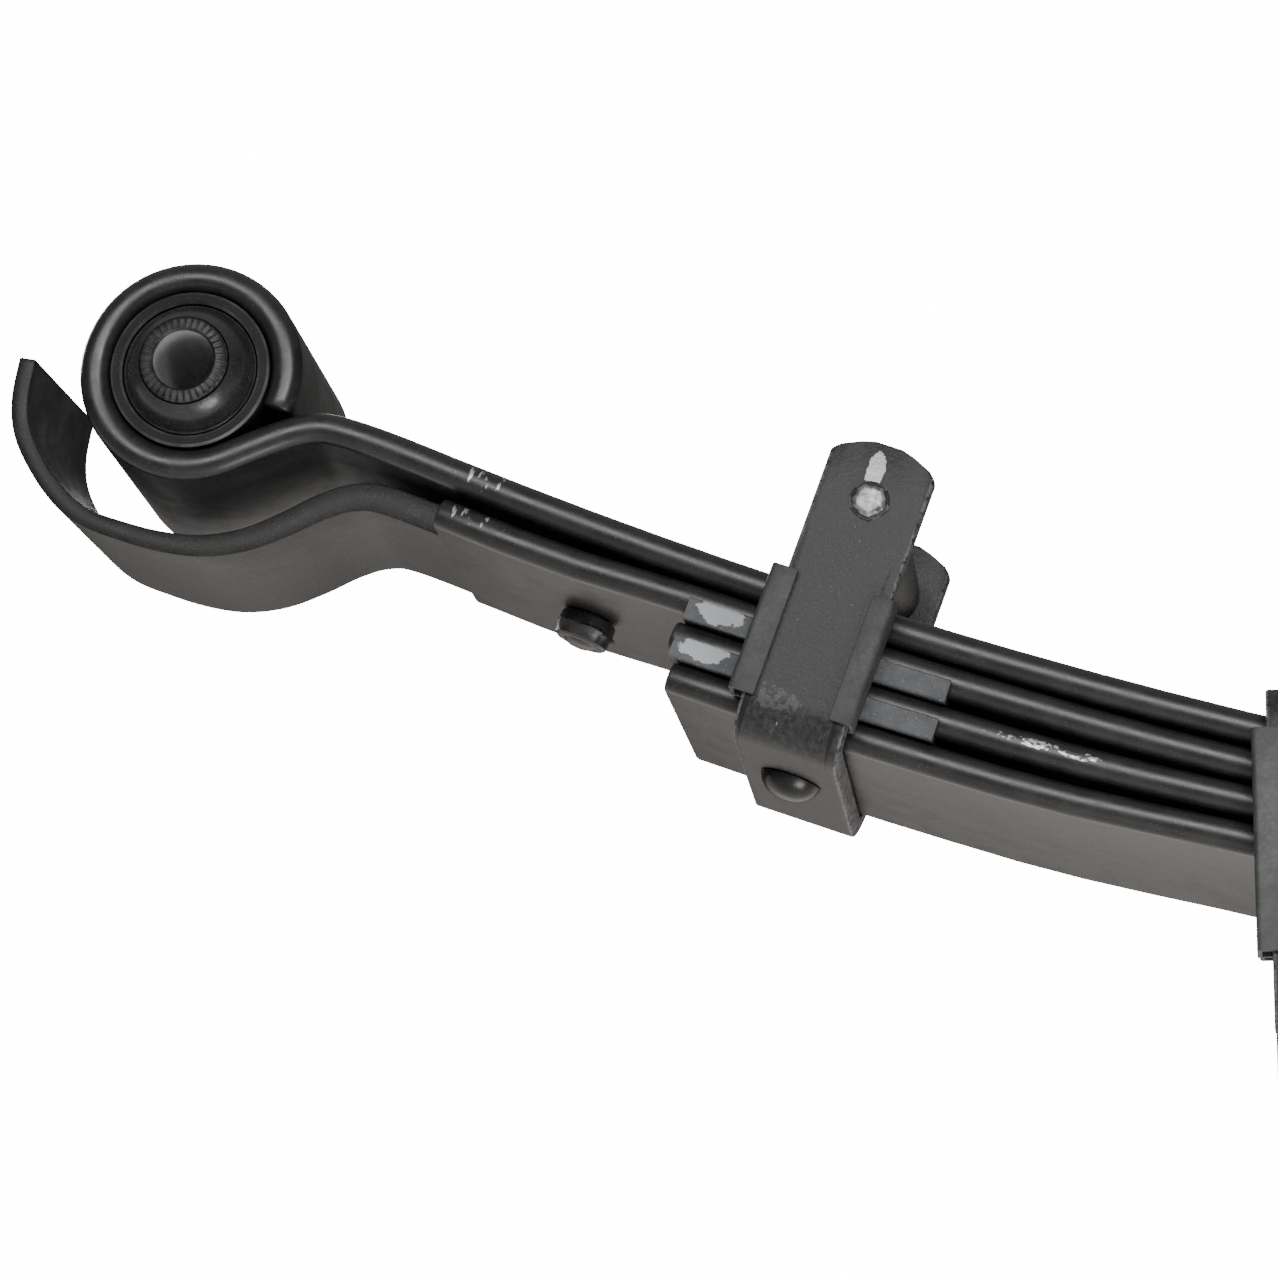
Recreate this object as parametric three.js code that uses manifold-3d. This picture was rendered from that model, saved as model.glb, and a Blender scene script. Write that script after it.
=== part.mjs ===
// Four-leaf semi-elliptic spring pack for a light vehicle's axle, in millimetres, +Z up.
// The origin is the flat end of the centre bolt's head, the stud that drops into the axle seat.
// +X runs along the spring towards the rear eye, -X towards the wrapped front eye, Y across it.
import * as THREE from 'three';
import { mergeVertices } from 'three/addons/utils/BufferGeometryUtils.js';
import Module from 'manifold-3d';

const wasm = await Module();
wasm.setup();

// Driving dimensions.
const LEAF_WIDTH = 63.5;
const LEAF_THICKNESS = 6.35;
const EDGE_ROUND = 2.2;
const GAP = 0.3;
const SEAT_GAP = 0.35;
const SEAT_HALF = 44;
const CAMBER_RADIUS = 1146;
const EYE_X = 567.5;
const EYE_ABOVE_SEAT_TOP = 120.5;
const EYE_BORE_RADIUS = 16.7;
const SLEEVE_BORE_RADIUS = 6.2;
const SLEEVE_RADIUS = 9;
const SHELL_BORE_RADIUS = 14;
const SLEEVE_LENGTH = 76;
const BOLT_HEAD_HEIGHT = 9.5;
const BOLT_HEAD_RADIUS = 8;
const BOLT_RADIUS = 4.6;
const NUT_ACROSS_FLATS = 16;
const NUT_HEIGHT = 8;
const THIRD_TIP_ARC = 472.3;
const FOURTH_TIP_ARC = 470;
const PAD_START_ARC = 417;
const PAD_END_ARC = 471;
const SECOND_REAR_TIP_ARC = 500;
const WRAP_WIDTH = 45.5;
const WRAP_STEP_ARC = 525.5;
const PLUG_ARC = 495.2;
const PLUG_RADIUS = 4.5;
const CLIP_WIDTH = 21.7;
const STRAP_THICKNESS = 4.6;
const CLIP_LINER = 1.3;
const LINER_STAND_OFF = 1.5;
const TIP_CLIP_ARC = 444;
const TIP_CLIP_YAW = 1.5;
const CLIP_RIVET_SHIFT = 9.5;
const INNER_CLIP_ARC = 345;
const ARM_RISE = 30;
const CROSS_RISE = 18;
const INNER_LINER_DROP = { near: 17, far: 3 };
const INNER_BOLT_DROP = 25;
const INNER_ARM_DROP = 36;
const CROSS_RADIUS = 3.2;
const SPACER_RADIUS = 6.5;
const HOLE_CLEARANCE = 0.35;

// Heights that follow from the dimensions above.
const PACK_BOTTOM = BOLT_HEAD_HEIGHT + GAP;
const PACK_TOP = PACK_BOTTOM + 4 * LEAF_THICKNESS + 3 * SEAT_GAP;
const EYE_Z = PACK_TOP + EYE_ABOVE_SEAT_TOP;
const HALF_WIDTH = LEAF_WIDTH / 2;

// Paint, steel, rubber and plastic as they look from outside.
const finish = (color, roughness, metalness) => new THREE.MeshStandardMaterial({ color, roughness, metalness });
const leafPaint = finish(0x26272a, 0.42, 0.25);
const clipPaint = finish(0x38393c, 0.55, 0.25);
const bareSteel = finish(0xa9acb0, 0.35, 0.9);
const zincSteel = finish(0x8d9092, 0.4, 0.85);
const bushRubber = finish(0x1f2022, 0.6, 0);
const linerPlastic = finish(0x4a4b4d, 0.55, 0);
const padPlastic = finish(0x585c60, 0.6, 0);

const part = new THREE.Group();

function addPiece(name, geometry, material) {
  const mesh = new THREE.Mesh(geometry, material);
  mesh.name = name;
  part.add(mesh);
  return mesh;
}

// A closed three.js geometry as a manifold solid, and back again.
function toSolid(geometry) {
  const bare = geometry.clone();
  bare.deleteAttribute('normal');
  bare.deleteAttribute('uv');
  const merged = mergeVertices(bare, 1e-4);
  return new wasm.Manifold(new wasm.Mesh({
    numProp: 3,
    vertProperties: new Float32Array(merged.attributes.position.array),
    triVerts: new Uint32Array(merged.index.array),
  }));
}

function toGeometry(solid) {
  const mesh = solid.getMesh();
  const geometry = new THREE.BufferGeometry();
  geometry.setAttribute('position', new THREE.BufferAttribute(new Float32Array(mesh.vertProperties), 3));
  geometry.setIndex(new THREE.BufferAttribute(new Uint32Array(mesh.triVerts), 1));
  return geometry;
}

// The pack's arched line: flat over the seat, then one radius out to both ends. `arc` is the
// distance along leaf one's top face, negative to the front; `depth` is how far below that face.
function packPoint(arc, depth) {
  const side = Math.sign(arc) || 1;
  const turned = Math.max(0, Math.abs(arc) - SEAT_HALF) / CAMBER_RADIUS;
  const level = Math.min(Math.abs(arc), SEAT_HALF);
  const normal = new THREE.Vector2(-side * Math.sin(turned), Math.cos(turned));
  const top = new THREE.Vector2(
    side * (level + CAMBER_RADIUS * Math.sin(turned)),
    PACK_TOP + CAMBER_RADIUS * (1 - Math.cos(turned)),
  );
  return { point: top.addScaledVector(normal, -depth), normal };
}

const smooth = (value, low, high) => THREE.MathUtils.smoothstep(value, low, high);

// Gaps between neighbouring leaves: closed at the seat, wider over the tip pads and, at the
// front, a long lens of air round the plug where leaf two turns away to form the wrap.
function upperGap(arc) {
  const outward = Math.abs(arc);
  const settled = SEAT_GAP + 0.6 * smooth(outward, 60, 360) - 0.35 * smooth(outward, 360, 420);
  if (arc > 0) return settled + 1.1 * smooth(outward, 360, 450);
  return settled + 1.6 * smooth(outward, 465, 505);
}
const middleGap = (arc) => SEAT_GAP + 0.35 * smooth(Math.abs(arc), 60, 360) + 1.05 * smooth(Math.abs(arc), 350, 405);
const lowerGap = (arc) => SEAT_GAP + 0.65 * smooth(Math.abs(arc), 60, 360) + 0.75 * smooth(Math.abs(arc), 350, 400);
const secondTop = (arc) => LEAF_THICKNESS + upperGap(arc);
const thirdTop = (arc) => secondTop(arc) + LEAF_THICKNESS + middleGap(arc);
const fourthTop = (arc) => thirdTop(arc) + LEAF_THICKNESS + lowerGap(arc);
const packDepth = (arc) => fourthTop(arc) + LEAF_THICKNESS;

// Stations along the arch, closer together where the gaps change.
function stations(from, to, step = 24) {
  const count = Math.max(2, Math.round(Math.abs(to - from) / step));
  return Array.from({ length: count + 1 }, (_, i) => from + ((to - from) * i) / count);
}

// A side outline from a middle line: each entry has a point, an upward normal and a half thickness.
function ribbon(line) {
  const upper = line.map((e) => e.point.clone().addScaledVector(e.normal, e.half));
  const lower = line.map((e) => e.point.clone().addScaledVector(e.normal, -e.half)).reverse();
  return new THREE.Shape([...lower, ...upper]);
}

const archLine = (arcs, topDepth, thickness = LEAF_THICKNESS) => arcs.map((arc) => {
  const { point, normal } = packPoint(arc, topDepth(arc) + thickness / 2);
  return { point, normal, half: thickness / 2 };
});

// A side outline (X, Z) pushed across the spring, with its long edges eased by `round`.
function acrossSpring(shape, width, round = 0) {
  const geometry = new THREE.ExtrudeGeometry(shape, {
    depth: width - 2 * round,
    bevelEnabled: round > 0,
    bevelThickness: round,
    bevelSize: round,
    bevelOffset: -round,
    bevelSegments: 1,
  });
  geometry.translate(0, 0, round - width / 2);
  geometry.rotateX(Math.PI / 2);
  return geometry;
}

// Places a piece made round the origin, its own Z up, on the arched line.
function placeOnPack(geometry, arc, depth, lean = 1) {
  const { point, normal } = packPoint(arc, depth);
  geometry.rotateY(Math.atan2(normal.x, normal.y) * lean);
  geometry.translate(point.x, 0, point.y);
  return geometry;
}

function upright(radius, bottom, top, sides = 24) {
  const geometry = new THREE.CylinderGeometry(radius, radius, top - bottom, sides);
  geometry.rotateX(Math.PI / 2);
  geometry.translate(0, 0, (bottom + top) / 2);
  return geometry;
}

// A turned piece from closed (radius, height) points, standing along Z.
function turned(points, sides = 24) {
  const geometry = new THREE.LatheGeometry(points.map(([r, h]) => new THREE.Vector2(r, h)), sides);
  geometry.rotateX(Math.PI / 2);
  return geometry;
}

// ---------------------------------------------------------------- leaf one and its eyes
// The leaf dips under the eye, curls up round it and closes on its own top face. The curve is
// drawn for the front eye from its free end, in millimetres from the eye's centre.
const EYE_FREE_END = THREE.MathUtils.degToRad(-26);
const EYE_LEAVES_AT = THREE.MathUtils.degToRad(290);
const EYE_MIDDLE_RADIUS = EYE_BORE_RADIUS + LEAF_THICKNESS / 2;
const EYE_JOIN_ARC = 527;

function eyeLine() {
  const line = [];
  const add = (point, tangent) => {
    const normal = new THREE.Vector2(-tangent.y, tangent.x).normalize();
    line.push({ point, normal, half: LEAF_THICKNESS / 2 });
  };
  const curlSteps = 34;
  for (let i = 0; i <= curlSteps; i += 1) {
    const angle = EYE_FREE_END + ((EYE_LEAVES_AT - EYE_FREE_END) * i) / curlSteps;
    const direction = new THREE.Vector2(Math.cos(angle), Math.sin(angle));
    add(direction.clone().multiplyScalar(EYE_MIDDLE_RADIUS), new THREE.Vector2(-direction.y, direction.x));
  }
  const join = packPoint(-EYE_JOIN_ARC, LEAF_THICKNESS / 2);
  const start = line.at(-1).point;
  const startWay = new THREE.Vector2(-Math.sin(EYE_LEAVES_AT), Math.cos(EYE_LEAVES_AT));
  const end = join.point.clone().sub(new THREE.Vector2(-EYE_X, EYE_Z));
  const endWay = new THREE.Vector2(join.normal.y, -join.normal.x);
  const crest = new THREE.Vector2(26.5, -12.9);
  const level = new THREE.Vector2(1, 0);
  const rise = new THREE.CubicBezierCurve(
    start,
    start.clone().addScaledVector(startWay, 8),
    crest.clone().addScaledVector(level, -6),
    crest,
  );
  const fall = new THREE.CubicBezierCurve(
    crest,
    crest.clone().addScaledVector(level, 5),
    end.clone().addScaledVector(endWay, -6),
    end,
  );
  for (const curve of [rise, fall]) {
    for (let i = 1; i <= 6; i += 1) add(curve.getPoint(i / 6), curve.getTangent(i / 6));
  }
  return line.map((e) => ({ ...e, point: e.point.add(new THREE.Vector2(-EYE_X, EYE_Z)) }));
}

const mirrored = (line) => line.map((e) => ({
  point: new THREE.Vector2(-e.point.x, e.point.y),
  normal: new THREE.Vector2(-e.normal.x, e.normal.y),
  half: e.half,
})).reverse();

const frontEye = eyeLine();
const mainArch = archLine(stations(-EYE_JOIN_ARC, EYE_JOIN_ARC, 30).slice(1, -1), () => 0);
const mainOutline = ribbon([...frontEye, ...mainArch, ...mirrored(frontEye)]);
const boltHole = toSolid(upright(BOLT_RADIUS + HOLE_CLEARANCE, 0, PACK_TOP + 20));
addPiece('main_leaf', toGeometry(toSolid(acrossSpring(mainOutline, LEAF_WIDTH, EDGE_ROUND)).subtract(boltHole)), leafPaint);

// ---------------------------------------------------------------- leaf two and its wrap
// The wrap is a narrower, tapering tongue that hangs under the front eye and turns up before it.
const WRAP_LINE = [
  [-35.6, 6.3], [-37.1, -3], [-35.8, -11.3], [-30.2, -21.2], [-23.6, -27.6], [-15, -31.3], [-6.6, -33.8],
  [1.5, -34.9], [10, -34.0], [18.3, -31.1], [26, -27.6], [33, -25.8], [40, -26.9],
];
const WRAP_TIP_HALF = 1.8;
const WRAP_SKEW = 0.055;

function wrapLine() {
  const arcs = [-WRAP_STEP_ARC + 6, -WRAP_STEP_ARC + 12, -WRAP_STEP_ARC + 20];
  const joined = arcs.map((arc) => packPoint(arc, secondTop(arc) + LEAF_THICKNESS / 2).point);
  const own = WRAP_LINE.map(([x, z]) => new THREE.Vector2(x - EYE_X, z + EYE_Z));
  const curve = new THREE.SplineCurve([...own, ...joined]);
  const steps = 34;
  return Array.from({ length: steps + 1 }, (_, i) => {
    const tangent = curve.getTangent(i / steps);
    return {
      point: curve.getPoint(i / steps),
      normal: new THREE.Vector2(-tangent.y, tangent.x),
      half: WRAP_TIP_HALF + (LEAF_THICKNESS / 2 - WRAP_TIP_HALF) * smooth(i / steps, 0.1, 0.95),
    };
  });
}

// The tongue is bent slightly out of square, so its far edge lags behind the near one.
function skewWrap(geometry) {
  const position = geometry.attributes.position;
  for (let i = 0; i < position.count; i += 1) {
    const share = 1 - smooth(position.getX(i), -EYE_X - 25, -EYE_X + 30);
    position.setX(i, position.getX(i) + share * WRAP_SKEW * (position.getY(i) + WRAP_WIDTH / 2));
  }
  return geometry;
}

const secondArch = ribbon(archLine(stations(-WRAP_STEP_ARC, SECOND_REAR_TIP_ARC), secondTop));
const wrap = toSolid(skewWrap(acrossSpring(ribbon(wrapLine()), WRAP_WIDTH)));
const plugHole = toSolid(placeOnPack(upright(PLUG_RADIUS + HOLE_CLEARANCE, -20, 20), -PLUG_ARC, LEAF_THICKNESS));
const secondLeaf = toSolid(acrossSpring(secondArch, LEAF_WIDTH, EDGE_ROUND)).add(wrap).subtract(boltHole).subtract(plugHole);
addPiece('second_leaf', toGeometry(secondLeaf), leafPaint);

// ---------------------------------------------------------------- leaves three and four
// Leaf four is bored at both ends for the rivets that hold the tip clips.
const CLIP_RIVET_RADIUS = 4;
const thirdLeaf = ribbon(archLine(stations(-THIRD_TIP_ARC, THIRD_TIP_ARC), thirdTop));
addPiece('third_leaf', toGeometry(toSolid(acrossSpring(thirdLeaf, LEAF_WIDTH, EDGE_ROUND)).subtract(boltHole)), leafPaint);

const fourthLeaf = ribbon(archLine(stations(-FOURTH_TIP_ARC, FOURTH_TIP_ARC), fourthTop));
let fourthSolid = toSolid(acrossSpring(fourthLeaf, LEAF_WIDTH, EDGE_ROUND)).subtract(boltHole);
for (const side of [-1, 1]) {
  const arc = side * TIP_CLIP_ARC;
  const hole = placeOnPack(upright(CLIP_RIVET_RADIUS + HOLE_CLEARANCE, -10, 10), arc, packDepth(arc));
  hole.translate(0, -CLIP_RIVET_SHIFT, 0);
  fourthSolid = fourthSolid.subtract(toSolid(hole));
}
addPiece('fourth_leaf', toGeometry(fourthSolid), leafPaint);

// ---------------------------------------------------------------- centre bolt and nut
const SHANK_TOP = PACK_TOP + GAP + NUT_HEIGHT + 3;
addPiece('center_bolt', turned([
  [0, 0], [BOLT_HEAD_RADIUS - 0.8, 0], [BOLT_HEAD_RADIUS, 0.8], [BOLT_HEAD_RADIUS, BOLT_HEAD_HEIGHT],
  [BOLT_RADIUS, BOLT_HEAD_HEIGHT], [BOLT_RADIUS, SHANK_TOP - 1], [BOLT_RADIUS - 1, SHANK_TOP], [0, SHANK_TOP],
]), zincSteel);

function hexNut(acrossFlats, boreRadius, height) {
  const hex = new THREE.CylinderGeometry(acrossFlats / Math.sqrt(3), acrossFlats / Math.sqrt(3), height, 6);
  hex.rotateX(Math.PI / 2);
  return toSolid(hex).subtract(toSolid(upright(boreRadius, -height, height)));
}
const centreNut = toGeometry(hexNut(NUT_ACROSS_FLATS, BOLT_RADIUS + HOLE_CLEARANCE, NUT_HEIGHT));
addPiece('center_nut', centreNut.translate(0, 0, PACK_TOP + GAP + NUT_HEIGHT / 2), zincSteel);

// ---------------------------------------------------------------- bushes
// Outer steel shell pressed in the eye, rubber bonded inside it, and the inner sleeve that the
// frame or shackle bolt clamps. The sleeve stands out of the eye, and the rubber's ends rise
// round it as a cone.
function turnedAcross(points, x, z, sides = 32) {
  const geometry = new THREE.LatheGeometry(points.map(([r, h]) => new THREE.Vector2(r, h)), sides);
  geometry.translate(x, 0, z);
  return geometry;
}

function tubeProfile(inner, outer, half, ease) {
  return [
    [inner, -half], [outer - ease, -half], [outer, -half + ease], [outer, half - ease],
    [outer - ease, half], [inner, half], [inner, -half],
  ];
}

for (const [end, side] of [['front', -1], ['rear', 1]]) {
  const x = side * EYE_X;
  const shell = tubeProfile(SHELL_BORE_RADIUS, EYE_BORE_RADIUS - GAP, HALF_WIDTH - 0.5, 0.4);
  addPiece(`${end}_bush_shell`, turnedAcross(shell, x, EYE_Z), clipPaint);
  const rubberIn = SLEEVE_RADIUS + GAP;
  const rubberOut = SHELL_BORE_RADIUS - GAP;
  const cone = [
    [rubberOut, HALF_WIDTH - 1.2], [rubberOut - 0.9, HALF_WIDTH - 1.2], [rubberOut - 1.6, HALF_WIDTH - 0.6],
    [rubberIn + 1.2, SLEEVE_LENGTH / 2 - 2.4], [rubberIn, SLEEVE_LENGTH / 2 - 0.8],
  ];
  const rubber = [...cone.map(([r, y]) => [r, -y]).reverse(), ...cone, [rubberIn, 0.8 - SLEEVE_LENGTH / 2]];
  addPiece(`${end}_bush_rubber`, turnedAcross(rubber, x, EYE_Z), bushRubber);
  const sleeve = tubeProfile(SLEEVE_BORE_RADIUS, SLEEVE_RADIUS, SLEEVE_LENGTH / 2, 0.3);
  addPiece(`${end}_bush_sleeve`, turnedAcross(sleeve, x, EYE_Z), bareSteel);
}

// ---------------------------------------------------------------- pads between the leaves
// Plastic pads carry the sliding leaf tips: a thin base under the longer leaf and two low lips
// that rise beside its edges and keep it from walking sideways.
const PAD_LIP = 0.6;
const PAD_LIP_RISE = 3.2;

function padLayer(arcs, top, thickness, width) {
  const line = arcs.map((arc) => {
    const { point, normal } = packPoint(arc, top(arc) + thickness(arc) / 2);
    return { point, normal, half: thickness(arc) / 2 };
  });
  return toSolid(acrossSpring(ribbon(line), width));
}

function tipPad(name, side, upperBottom, gap, farArc) {
  const arcs = stations(side * PAD_START_ARC, side * farArc, 13);
  if (side < 0) arcs.reverse();
  const baseTop = (arc) => upperBottom(arc) + GAP;
  const base = (arc) => gap(arc) - 2 * GAP;
  const outside = LEAF_WIDTH + 2 * (GAP + PAD_LIP);
  const full = padLayer(arcs, (arc) => baseTop(arc) - PAD_LIP_RISE, (arc) => base(arc) + PAD_LIP_RISE, outside);
  const between = () => PAD_LIP_RISE + 2;
  const longer = [arcs[0] * 2 - arcs[1], ...arcs, arcs.at(-1) * 2 - arcs.at(-2)];
  const channel = padLayer(longer, (arc) => baseTop(arc) - PAD_LIP_RISE - 2, between, LEAF_WIDTH + 2 * GAP);
  addPiece(name, toGeometry(full.subtract(channel)), padPlastic);
}
const leafBottom = (top) => (arc) => top(arc) + LEAF_THICKNESS;
for (const [end, side] of [['front', -1], ['rear', 1]]) {
  tipPad(`${end}_tip_pad_third`, side, leafBottom(secondTop), middleGap, PAD_END_ARC);
  tipPad(`${end}_tip_pad_fourth`, side, leafBottom(thirdTop), lowerGap, PAD_END_ARC);
}
tipPad('rear_tip_pad_second', 1, () => LEAF_THICKNESS, upperGap, SECOND_REAR_TIP_ARC);

// The plug holds a round wear disc between leaves one and two; its stem is snapped through leaf
// two and stands proud below it.
const plugTop = -GAP;
const discBottom = plugTop - 0.7;
const stemEnd = -upperGap(-PLUG_ARC) - LEAF_THICKNESS - 5.4;
addPiece('front_wear_plug', placeOnPack(turned([
  [0, stemEnd], [3.2, stemEnd], [PLUG_RADIUS - 0.2, stemEnd + 0.8], [PLUG_RADIUS - 0.2, stemEnd + 2],
  [PLUG_RADIUS + 1, stemEnd + 2.8], [PLUG_RADIUS + 1, stemEnd + 4], [PLUG_RADIUS - 0.2, stemEnd + 4.8],
  [PLUG_RADIUS - 0.2, discBottom], [9, discBottom], [9, plugTop], [0, plugTop],
]), -PLUG_ARC, LEAF_THICKNESS), zincSteel);

// ---------------------------------------------------------------- clips
// A clip is a bent strap round the pack. Local axes: X along the leaves, Z away from the closed
// end, Y across. Each arm lies outside a plastic liner that keeps it off the leaf edges.
const LINER_FACE = HALF_WIDTH + LINER_STAND_OFF;
const ARM_INNER = LINER_FACE + CLIP_LINER + GAP;
const ARM_OUTER = ARM_INNER + STRAP_THICKNESS;
const STRAP_BEND = 5;

function strapSection(closedAt, openAt) {
  const outline = (half, closed, bend) => {
    const path = new THREE.Path();
    path.moveTo(half, openAt);
    path.lineTo(half, closed + bend);
    path.absarc(half - bend, closed + bend, bend, 0, -Math.PI / 2, true);
    path.lineTo(-half + bend, closed);
    path.absarc(-half + bend, closed + bend, bend, -Math.PI / 2, -Math.PI, true);
    path.lineTo(-half, openAt);
    return path.getPoints(5);
  };
  const outer = outline(ARM_OUTER, closedAt - STRAP_THICKNESS, STRAP_BEND + STRAP_THICKNESS);
  const inner = outline(ARM_INNER, closedAt, STRAP_BEND).reverse();
  return new THREE.Shape([...outer, ...inner]);
}

function strap(closedAt, openAt, crossAt, rivetHole) {
  const bent = new THREE.ExtrudeGeometry(strapSection(closedAt, openAt), { depth: CLIP_WIDTH, bevelEnabled: false });
  bent.translate(0, 0, -CLIP_WIDTH / 2);
  bent.rotateY(Math.PI / 2);
  bent.rotateX(Math.PI / 2);
  const half = CLIP_WIDTH / 2;
  const armEnd = new THREE.Shape();
  armEnd.moveTo(-half, closedAt - 20);
  armEnd.lineTo(half, closedAt - 20);
  armEnd.lineTo(half, openAt - 4);
  armEnd.quadraticCurveTo(half * 0.75, openAt, 0, openAt);
  armEnd.quadraticCurveTo(-half * 0.75, openAt, -half, openAt - 4);
  armEnd.closePath();
  const trim = new THREE.ExtrudeGeometry(armEnd, { depth: 100, bevelEnabled: false, curveSegments: 5 });
  trim.translate(0, 0, -50);
  trim.rotateX(Math.PI / 2);
  const cross = new THREE.CylinderGeometry(CROSS_RADIUS + HOLE_CLEARANCE, CROSS_RADIUS + HOLE_CLEARANCE, 120, 20);
  cross.translate(0, 0, crossAt);
  let solid = toSolid(bent).intersect(toSolid(trim)).subtract(toSolid(cross));
  if (rivetHole) {
    const hole = upright(CLIP_RIVET_RADIUS + HOLE_CLEARANCE, closedAt - 12, closedAt + 12);
    solid = solid.subtract(toSolid(hole.translate(0, -CLIP_RIVET_SHIFT, 0)));
  }
  return toGeometry(solid);
}

// A liner's section is a channel that the arm slides into: a floor against the leaf edges, two
// walls beside the arm and two lips folded over its outer face.
const LINER_SLACK = 1.9;
const LINER_WALL = { slack: 1.05, snug: 0.8 };
const LINER_LIP = { slack: 5.4, snug: 4.7 };
const LINER_LIP_THICKNESS = 1.3;

function clipLiner(side, low, high) {
  const slotLeft = -CLIP_WIDTH / 2 - LINER_SLACK;
  const slotRight = CLIP_WIDTH / 2 + GAP;
  const left = slotLeft - LINER_WALL.slack;
  const right = slotRight + LINER_WALL.snug;
  const floor = LINER_FACE + CLIP_LINER;
  const lipUnder = ARM_OUTER + GAP;
  const lipTop = lipUnder + LINER_LIP_THICKNESS;
  const section = new THREE.Shape([
    [left, LINER_FACE], [right, LINER_FACE], [right, lipTop], [right - LINER_LIP.snug, lipTop],
    [right - LINER_LIP.snug, lipUnder], [slotRight, lipUnder], [slotRight, floor], [slotLeft, floor],
    [slotLeft, lipUnder], [left + LINER_LIP.slack, lipUnder], [left + LINER_LIP.slack, lipTop], [left, lipTop],
  ].map(([x, y]) => new THREE.Vector2(x, side * y)));
  const geometry = new THREE.ExtrudeGeometry(section, { depth: high - low, bevelEnabled: false });
  return geometry.translate(0, 0, low);
}

function spacer(crossAt) {
  const half = ARM_INNER - GAP;
  const bore = CROSS_RADIUS + HOLE_CLEARANCE;
  const ring = [[bore, -half], [SPACER_RADIUS, -half], [SPACER_RADIUS, half], [bore, half], [bore, -half]];
  return turnedAcross(ring, 0, crossAt, 20);
}

for (const [end, side] of [['front', -1], ['rear', 1]]) {
  // Tip clip: closed under leaf four, riveted to it, its arms joined by a peened pin.
  const tipArc = side * TIP_CLIP_ARC;
  const depth = packDepth(tipArc);
  const closedAt = -depth - GAP;
  const yaw = THREE.MathUtils.degToRad(TIP_CLIP_YAW);
  const place = (geometry) => placeOnPack(geometry.rotateZ(yaw), tipArc, 0);
  const name = `${end}_tip_clip`;
  addPiece(`${name}_strap`, place(strap(closedAt, ARM_RISE, CROSS_RISE, true)), clipPaint);
  addPiece(`${name}_liner_near`, place(clipLiner(-1, 3 - depth, 0)), linerPlastic);
  addPiece(`${name}_liner_far`, place(clipLiner(1, 3 - depth, 0)), linerPlastic);
  addPiece(`${name}_spacer`, place(spacer(CROSS_RISE)), clipPaint);
  const peen = ARM_OUTER + GAP;
  addPiece(`${name}_pin`, place(turnedAcross([
    [0, -peen - 0.7], [3, -peen - 0.7], [4, -peen], [CROSS_RADIUS, -peen],
    [CROSS_RADIUS, peen], [4, peen], [3, peen + 0.7], [0, peen + 0.7],
  ], 0, CROSS_RISE, 20)), bareSteel);
  const headTop = closedAt - STRAP_THICKNESS - GAP;
  addPiece(`${name}_rivet`, place(turned([
    [0, headTop - 4.2], [2.8, headTop - 3.8], [4.9, headTop - 2.6], [6.3, headTop],
    [CLIP_RIVET_RADIUS, headTop], [CLIP_RIVET_RADIUS, -depth + LEAF_THICKNESS],
    [0, -depth + LEAF_THICKNESS],
  ]).translate(0, -CLIP_RIVET_SHIFT, 0)), clipPaint);

  // Inner clip: the same strap turned over, closed above leaf one, its hanging arms held apart
  // by a spacer on a bolt with a nut. It stands plumb, so its bridge clears the sloping leaf.
  const innerArc = side * INNER_CLIP_ARC;
  const slope = (INNER_CLIP_ARC - SEAT_HALF) / CAMBER_RADIUS;
  const bridge = (CLIP_WIDTH / 2) * Math.tan(slope) + GAP;
  const below = packDepth(innerArc) / Math.cos(slope);
  const over = (geometry) => placeOnPack(geometry.rotateX(Math.PI), innerArc, 0, 0);
  const inner = `${end}_inner_clip`;
  const boltAt = below + INNER_BOLT_DROP;
  addPiece(`${inner}_strap`, over(strap(-bridge, below + INNER_ARM_DROP, boltAt, false)), clipPaint);
  addPiece(`${inner}_liner_near`, over(clipLiner(1, 2, below + INNER_LINER_DROP.near)), linerPlastic);
  addPiece(`${inner}_liner_far`, over(clipLiner(-1, 2, below + INNER_LINER_DROP.far)), linerPlastic);
  addPiece(`${inner}_spacer`, over(spacer(boltAt)), clipPaint);
  const headAt = ARM_OUTER + GAP;
  const nutHeight = 6.5;
  addPiece(`${inner}_bolt`, over(turnedAcross([
    [0, -headAt - 5.3], [5.6, -headAt - 5.3], [6.5, -headAt - 4.6], [6.5, -headAt],
    [CROSS_RADIUS, -headAt], [CROSS_RADIUS, headAt + nutHeight + 2.5], [0, headAt + nutHeight + 2.5],
  ], 0, boltAt, 12)), zincSteel);
  const nut = toGeometry(hexNut(13, CROSS_RADIUS + HOLE_CLEARANCE, nutHeight));
  nut.rotateX(Math.PI / 2);
  addPiece(`${inner}_nut`, over(nut.translate(0, headAt + nutHeight / 2, boltAt)), zincSteel);
}

export default part;
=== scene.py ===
import bisect
from math import atan2, cos, pi, radians, sin, tan

import bmesh
import bpy
from mathutils import Matrix, Vector
from mathutils.geometry import interpolate_bezier


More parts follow.
